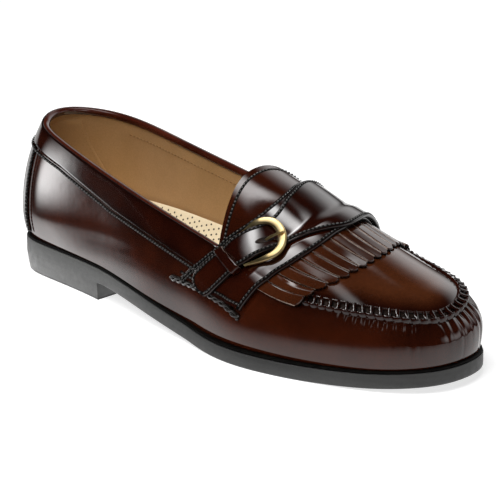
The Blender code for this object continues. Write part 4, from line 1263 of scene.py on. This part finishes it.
def make_kiltie():
    across = np.linspace(-KILTIE_REACH, KILTIE_REACH, 481)
    points = form(along_at(SADDLE_FRONT(0.0), across), across)
    arc = run_length(points)
    pitch = arc[-1] / KILTIE_STRIPS
    grids = []
    t = np.sin(np.linspace(-math.pi / 2, math.pi / 2, 11))
    share = 1 - (1 - np.linspace(0, 1, 31)) ** 1.25
    for i in range(KILTIE_STRIPS):
        middle = (i + 0.5) * pitch
        w = np.interp(middle + t * (pitch - KILTIE_SLIT) / 2, arc, across)
        rear = SADDLE_FRONT(w) - KILTIE_TUCK
        front = SADDLE_FRONT(w) + KILTIE_LENGTH - KILTIE_ROUND * np.abs(t) ** 2.2 + RANDOM.uniform(-0.3, 0.3)
        x = rear[:, None] + (front - rear)[:, None] * share
        c = np.repeat(w[:, None], len(share), 1)
        a = along_at(x, c)
        free = np.clip((share - 0.2) / 0.8, 0, 1)[None]
        lift = 0.3 + KILTIE_LIFT * free**2 * RANDOM.uniform(0.7, 1.2)
        lift = lift + 0.15 * free * RANDOM.uniform(-1, 1) * t[:, None]
        lift = lift + STRIP_CURL.get(i, 0.0) * free**2.5 * (0.5 + 0.5 * t[:, None]) ** 1.5
        base = skin(a, c, lift + 0 * x)
        top = base + form_normal(a, c) * rounded(base, KILTIE_THICK, 0.4, 0.5)[..., None]
        # Each strip's long side walls, and the first rows of its top along one side, take the light edge
        # colour: a painted highlight beside the slits. Its ends are inked.
        over, under, *sides, (back, _), (end, _) = slab(top, base, 1)
        grids += [over[1:], (over[:2], 1), under, *sides, (back, 2), (end, 2)]
    made = piece("kiltie_fringe", grids, [TRIM, EDGE_HIGHLIGHT, INK], "kiltie")
    paint(made, "amber", 0.42)


# Buckle and keeper

def frame_outline(length):
    """The buckle's middle line in the plane of the strap: (along from the bar, across)."""
    half, straight = BUCKLE_WIDTH / 2, length - BUCKLE_BEND
    arm = np.linspace(0, straight, 12)
    spread_at = half - FRAME_DRAW_IN * (1 - smooth_step(arm, 0, straight))
    turn = np.radians(np.linspace(90, -90, 41)[1:-1])
    bend = np.stack([straight + BUCKLE_BEND * np.cos(turn) ** 0.8, half * np.sin(turn)], -1)
    upper, lower = np.stack([arm, spread_at], -1), np.stack([arm, -spread_at], -1)[::-1]
    bar = np.stack([np.zeros(9), np.linspace(lower[-1, 1], upper[0, 1], 11)[1:-1]], -1)
    return np.concatenate([bar, upper, bend, lower])


Width = namedtuple("Width", "share wide")
FRAME_WIDTHS = [Width(0.0, 1.2), Width(0.12, 1.4), Width(0.3, 2.2), Width(0.55, 3.2), Width(0.85, 4.1),
                Width(1.0, 4.4)]  # from the bar to the rounded end
PRONG_THICK, PRONG_END = (1.7, 1.35), [0.95, 0.85, 0.65, 0.35]


def make_buckle():
    bar, end, run, side, out = strap_frame(BUCKLE_BAR_AT, BUCKLE_END_AT)
    length = (end - bar) @ run
    middle, _ = saddle_top(np.add(BUCKLE_BAR_AT, BUCKLE_END_AT) / 2)
    bulge = (middle - (bar + end) / 2) @ out
    outline = frame_outline(length)

    def height(share):
        rise = BAR_HEIGHT + (FRAME_END_HEIGHT - BAR_HEIGHT) * smooth_step(share, 0.1, 0.6)
        return rise + FRAME_CURVE * bulge * 4 * share * (1 - share)

    share = outline[:, 0] / length
    path = bar + outline[:, :1] * run + outline[:, 1:] * side + height(share)[:, None] * out
    path = resample(np.concatenate([path, path[:1]]), 0.5)[0][:-1]
    share = (path - bar) @ run / length
    wide = np.interp(share, [w.share for w in FRAME_WIDTHS], [w.wide for w in FRAME_WIDTHS])
    high = BAR_THICK + (FRAME_HIGH - BAR_THICK) * smooth_step(share, 0.0, 0.3)
    piece("buckle_gold", tube(path, out, wide, high, True, 24, 0.6), [GOLD], "buckle_frame", 70)
    top = float(height(np.array(1.0))) + FRAME_HIGH / 2 + 0.65
    stops = np.array([(1.9, 1.1), (6.0, 0.9), (10.0, 1.1), (12.5, 2.3), (14.5, 4.2), (length - 1.8, top),
                      (length + 0.6, top + 0.2), (length + 1.6, top - 0.5)])
    path = bar + stops[:, :1] * run + stops[:, 1:] * out
    knots, fine = np.arange(len(path)), np.linspace(0, len(path) - 1, 60)
    path = resample(np.stack([open_curve(knots, values)(fine) for values in path.T], -1), 0.4)[0]
    thick = np.linspace(*PRONG_THICK, len(path))
    thick[-len(PRONG_END) :] *= PRONG_END
    piece("prong_gold", tube(path, out, thick, thick * 0.8, False), [GOLD], "buckle_prong", 70)


def keeper_section(edge, grown):
    """A cross-section of the keeper, up from the saddle, over the strap and down again."""
    beyond, bend = (KEEPER_CLEAR + grown) / KEEPER_STRAP, (KEEPER_CORNER + grown) / KEEPER_STRAP
    turn = np.linspace(0, math.pi / 2, 6)
    share = np.concatenate([[-beyond, -beyond], -beyond + bend * (1 - np.cos(turn))])
    drop = np.concatenate([[0, 0], (KEEPER_CORNER + grown) * (1 - np.sin(turn))])
    over = np.linspace(share[-1], 1 - share[-1], 13)[1:-1]
    share = np.concatenate([share, over, 1 - share[::-1]])
    drop = np.concatenate([drop, 0 * over, drop[::-1]])
    upper = KEEPER_UPPER[0] + (KEEPER_UPPER[1] - KEEPER_UPPER[0]) * edge
    lower = KEEPER_LOWER[0] + (KEEPER_LOWER[1] - KEEPER_LOWER[0]) * edge
    across = upper + (lower - upper) * share
    x = STRAP_REAR(across) + (STRAP_FRONT(across) - STRAP_REAR(across)) * share
    a = along_at(x, across)
    foot = saddle_low(x, across) + SADDLE_THICK + KEEPER_FOOT
    height = strap_low(a, across, x) + STRAP_THICK + KEEPER_CLEAR + grown - drop
    height = height + KEEPER_CROWN * np.maximum(1 - (2 * share - 1) ** 2, 0)
    for foot_at, bend_at in ((0, 2), (-1, -3)):
        height[foot_at] = foot[foot_at]
        height[(foot_at + bend_at) // 2] = (foot[foot_at] + height[bend_at]) / 2
    return skin(a, across, height)


def make_keeper():
    sheets = []
    for grown in (KEEPER_THICK, 0.0):
        rows = []
        for edge in ends_crowded(17):
            near = min(edge, 1 - edge) * 8
            ease = math.sqrt(1 - (1 - min(near, 1)) ** 2)
            rows.append(keeper_section(edge, grown * (0.4 + 0.6 * ease)))
        sheets.append(np.stack(rows))
    # The keeper's cut edges take the light edge colour: a painted highlight.
    piece("keeper_leather", slab(*sheets, 1), [TRIM, EDGE_HIGHLIGHT], "strap_keeper")


def make_throat_stitches():
    across = np.linspace(-0.98, 0.98, 200)
    stitches(form(0.022, across), form_normal(0.022, across))


def make_all():
    for make in (
        make_upper, make_lining, make_heel_grip, make_lining_stitches, make_binding, make_outsole, make_heel,
        make_welt, make_insole, make_apron_seam, make_collar_band, make_back_stay, make_saddle, make_strap,
        make_kiltie, make_buckle, make_keeper, make_throat_stitches,
    ):
        make()
    # Black strips under the stitch rows: painted shade of their grooves.
    piece("stitch_grooves", GROOVE_SHADE, [BLACK], None, 80)
    piece("edge_stitches", SEWN, [THREAD], None, 80)
    paint(piece("seam_stitches", THICK_SEWN, [TRIM], None, 80), "shade", 0.6)
    piece("lining_stitches", TAN_SEWN, [TAN], None, 80)


# Studio

CAMERA_AZIMUTH, CAMERA_ELEVATION = math.radians(44.129), math.radians(18.506)
CAMERA_DISTANCE, PIXELS_PER_MM, FRAME_PIXELS, SENSOR = 2400.0, 1.968, 500.0, 36.0
HEEL_PIXEL = (30.548, 255.772)  # where the form's own origin lies in the picture
FOCUS_DEPTH = np.array([150.0, 0.0, 30.0])


def make_camera():
    """The photo's camera, as fitted to the outline of the shoe."""
    a, e = CAMERA_AZIMUTH, CAMERA_ELEVATION
    back = np.array([math.sin(a) * math.cos(e), -math.cos(a) * math.cos(e), math.sin(e)])
    right = np.array([math.cos(a), math.sin(a), 0.0])
    up = np.cross(back, right)
    aim = right * (FRAME_PIXELS / 2 - HEEL_PIXEL[0]) / PIXELS_PER_MM
    aim = aim + up * (HEEL_PIXEL[1] - FRAME_PIXELS / 2) / PIXELS_PER_MM + back * (back @ FOCUS_DEPTH)
    place = in_frame(aim + back * CAMERA_DISTANCE)
    data = bpy.data.cameras.new("camera")
    data.sensor_width, data.lens = SENSOR, SENSOR * PIXELS_PER_MM * CAMERA_DISTANCE / FRAME_PIXELS
    data.clip_start, data.clip_end = 0.1, 100
    camera = add_object("camera", data)
    turn = Matrix((right, up, back)).transposed().to_4x4()
    camera.matrix_world = Matrix.Translation(Vector(place)) @ turn
    bpy.context.scene.camera = camera


FILL_PLACE, FILL_AIM, FILL_SIZE, FILL_POWER = (0.15, -0.75, 1.45), (0, 0, 0.04), 1.4, 34


def make_fill():
    """A broad lamp that lights surfaces without showing in their gloss."""
    data = bpy.data.lights.new("fill", "AREA")
    data.shape, data.size, data.size_y, data.energy = "RECTANGLE", FILL_SIZE, FILL_SIZE, FILL_POWER
    lamp = add_object("fill", data)
    lamp.location = FILL_PLACE
    lamp.visible_glossy = False
    lamp.rotation_mode = "QUATERNION"
    lamp.rotation_quaternion = (Vector(FILL_AIM) - Vector(FILL_PLACE)).to_track_quat("-Z", "Y")


def glowing_sheet(name, points, glow, clear):
    """A sheet that glows point by point and shows in gloss alone; a clear one adds to what lies behind it."""
    rows, columns, _ = points.shape
    made = mesh_object(name, points.reshape(-1, 3).tolist(), grid_faces(rows, columns).tolist())
    paint(made, "glow", glow.reshape(-1))
    look = Look(name, 1.0, Specular_IOR_Level=0.0, Base_Color=(0, 0, 0, 1), Emission_Color=(1, 1, 1, 1))
    made.data.materials.append(look.made_with(Emission_Strength=look.attribute("glow")))
    if clear:
        both = look.node("AddShader")
        for socket, source in zip(both.inputs, (look.shader, look.node("BsdfTransparent"))):
            look.links.new(source.outputs["BSDF"], socket)
        set_inputs(look.nodes["Material Output"], Surface=both.outputs["Shader"])
    made.visible_camera = made.visible_shadow = made.visible_diffuse = False


Card = namedtuple("Card", "name place aim size strength")
CARD_SOFT = 0.85  # the share of a card that fades towards its edges
CARDS = [
    Card("tongue_card", (-0.095, 0.02, 0.50), (0.093, -0.05, 0.08), (0.48, 0.115), 7.5),
    Card("strap_card", (0.034, -0.014, 0.16), (0.034, -0.049, 0.07), (0.066, 0.046), 13),
    Card("plug_card", (-0.01, -0.19, 0.52), (0.09, -0.02, 0.05), (0.12, 0.12), 2.2),
    Card("saddle_card", (0.0356, -0.0761, 0.1463), (0.0546, -0.0211, 0.0643), (0.052, 0.10), 14),
    Card("toe_card", (0.15, -0.25, 0.48), (0.12, -0.03, 0.04), (0.18, 0.14), 1.2),
    Card("heel_card", (-0.195, -0.071, 0.048), (-0.11, -0.015, 0.048), (0.045, 0.082), 10.5),
    Card("brass_card", (0.02, -0.10, 0.40), (0.05, -0.03, 0.07), (0.36, 0.30), 3),
    Card("back_card", (-0.2, 1.5, 0.85), (0, 0, 0.05), (3.6, 1.6), 1.8),
    Card("right_card", (1.5, 0.8, 0.5), (0, 0, 0.05), (1.8, 1.1), 1.6),
]


def make_card(name, place, aim, size, strength):
    """A flat light card that fades towards its edges and shows in gloss alone."""
    t = np.linspace(-1, 1, 17)
    u, v = np.meshgrid(t, t, indexing="ij")
    toward = unit(np.subtract(aim, place))
    right = unit(np.cross(toward, [0.0, 0.0, 1.0]))
    up = np.cross(right, toward)
    points = np.array(place) + u[..., None] * size[0] / 2 * right + v[..., None] * size[1] / 2 * up
    fade = smooth_step(1 - np.abs(u), 0, CARD_SOFT) * smooth_step(1 - np.abs(v), 0, CARD_SOFT)
    glowing_sheet(name, points, strength * fade, True)


# How bright the floor shows in the gloss, by metres from the shoe, in each direction in degrees from the toe.
# A short row goes on with its last value.
FLOOR_FAR = [-0.04, 0.01, 0.03, 0.05, 0.07, 0.09, 0.12, 0.16, 0.25, 0.40, 0.80, 3.0, 20.0]
FLOOR_GLOW = {
    0: [1.3, 1.3, 1.25, 1.15, 1.05, 1.0, 0.95, 0.9, 0.85, 0.8],
    40: [1.0],
    140: [1.0],
    160: [0.3, 0.3, 0.3, 0.3, 0.3, 0.3, 0.3, 0.4, 0.7, 1.0, 1.2, 1.0],
    180: [0.5, 0.5, 0.5, 0.6, 0.9, 1.6, 2.3, 2.4, 2.0, 2.0, 1.4, 1.0],
    200: [2.6, 2.6, 2.5, 2.3, 1.7, 0.3, 0.06, 0.04],
    213: [3.8, 3.8, 3.8, 3.7, 2.8, 0.2, 0.03, 0.02],
    221: [3.6, 2.6, 1.0, 0.15, 0.03, 0.02],
    228: [3.5, 1.9, 0.3, 0.05, 0.02],
    245: [2.2, 1.2, 0.3, 0.06, 0.02],
    270: [1.1, 1.0, 0.6, 0.2, 0.06, 0.02],
    300: [1.2, 1.1, 1.0, 0.7, 0.35, 0.2, 0.12, 0.08, 0.06, 0.05, 0.04, 0.03],
    340: [1.3, 1.25, 1.15, 1.0, 0.9, 0.8, 0.7, 0.6, 0.5],
}
FOOTPRINT_HALF = (0.15, 0.05)


def make_floor_glow():
    turn = np.linspace(0, 360, 145)
    rows = [row + row[-1:] * (len(FLOOR_FAR) - len(row)) for row in FLOOR_GLOW.values()]
    glow = np.stack([np.interp(turn, list(FLOOR_GLOW), level, period=360) for level in np.transpose(rows)])
    far = np.array(FLOOR_FAR)[:, None]
    x = (FOOTPRINT_HALF[0] + far) * np.cos(np.radians(turn))
    y = (FOOTPRINT_HALF[1] + far) * np.sin(np.radians(turn))
    glowing_sheet("floor_glow", np.stack([x, y, 0 * x + MM], -1), glow, False)


def make_floor():
    half = 30.0
    corners = [(-half, -half, 0), (half, -half, 0), (half, half, 0), (-half, half, 0)]
    floor = mesh_object("floor", corners, [(0, 1, 2, 3)])
    look = Look("pale_floor", 0.9, Specular_IOR_Level=0.0, Base_Color=(0.6, 0.6, 0.6, 1),
                Emission_Color=(1, 1, 1, 1), Emission_Strength=0.72)
    floor.data.materials.append(look.made)


def make_world():
    """White to the camera, and nearly black to everything else."""
    world = bpy.data.worlds.new("studio")
    bpy.context.scene.world = world
    world.use_nodes = True
    nodes, links = world.node_tree.nodes, world.node_tree.links
    dark, white = nodes["Background"], nodes.new("ShaderNodeBackground")
    set_inputs(dark, Color=(0.012, 0.012, 0.013, 1), Strength=1.0)
    set_inputs(white, Color=(1, 1, 1, 1), Strength=1.0)
    either = nodes.new("ShaderNodeMixShader")
    set_inputs(either, Fac=nodes.new("ShaderNodeLightPath").outputs["Is Camera Ray"])
    for socket, source in zip(either.inputs[1:], (dark, white)):
        links.new(source.outputs["Background"], socket)
    set_inputs(nodes["World Output"], Surface=either.outputs["Shader"])


def make_studio():
    make_world()
    for card in CARDS:
        make_card(*card)
    make_fill()
    bpy.context.scene.view_settings.view_transform = "Standard"
    make_floor()
    make_floor_glow()


def share_cards():
    """The two cards close to the instep don't show on the brass, the fringe and the upper, and one card shows
    on the brass alone."""
    brass, spared = bpy.data.collections.new("brass"), bpy.data.collections.new("spared")
    for name in ("buckle_gold", "prong_gold", "kiltie_fringe", "upper_leather"):
        spared.objects.link(bpy.data.objects[name])
        if name.endswith("_gold"):
            brass.objects.link(bpy.data.objects[name])
    for entry in spared.collection_objects:
        entry.light_linking.link_state = "EXCLUDE"
    for card, receivers in (("strap_card", spared), ("saddle_card", spared), ("brass_card", brass)):
        bpy.data.objects[card].light_linking.receiver_collection = receivers


make_camera()
make_studio()
make_all()
share_cards()
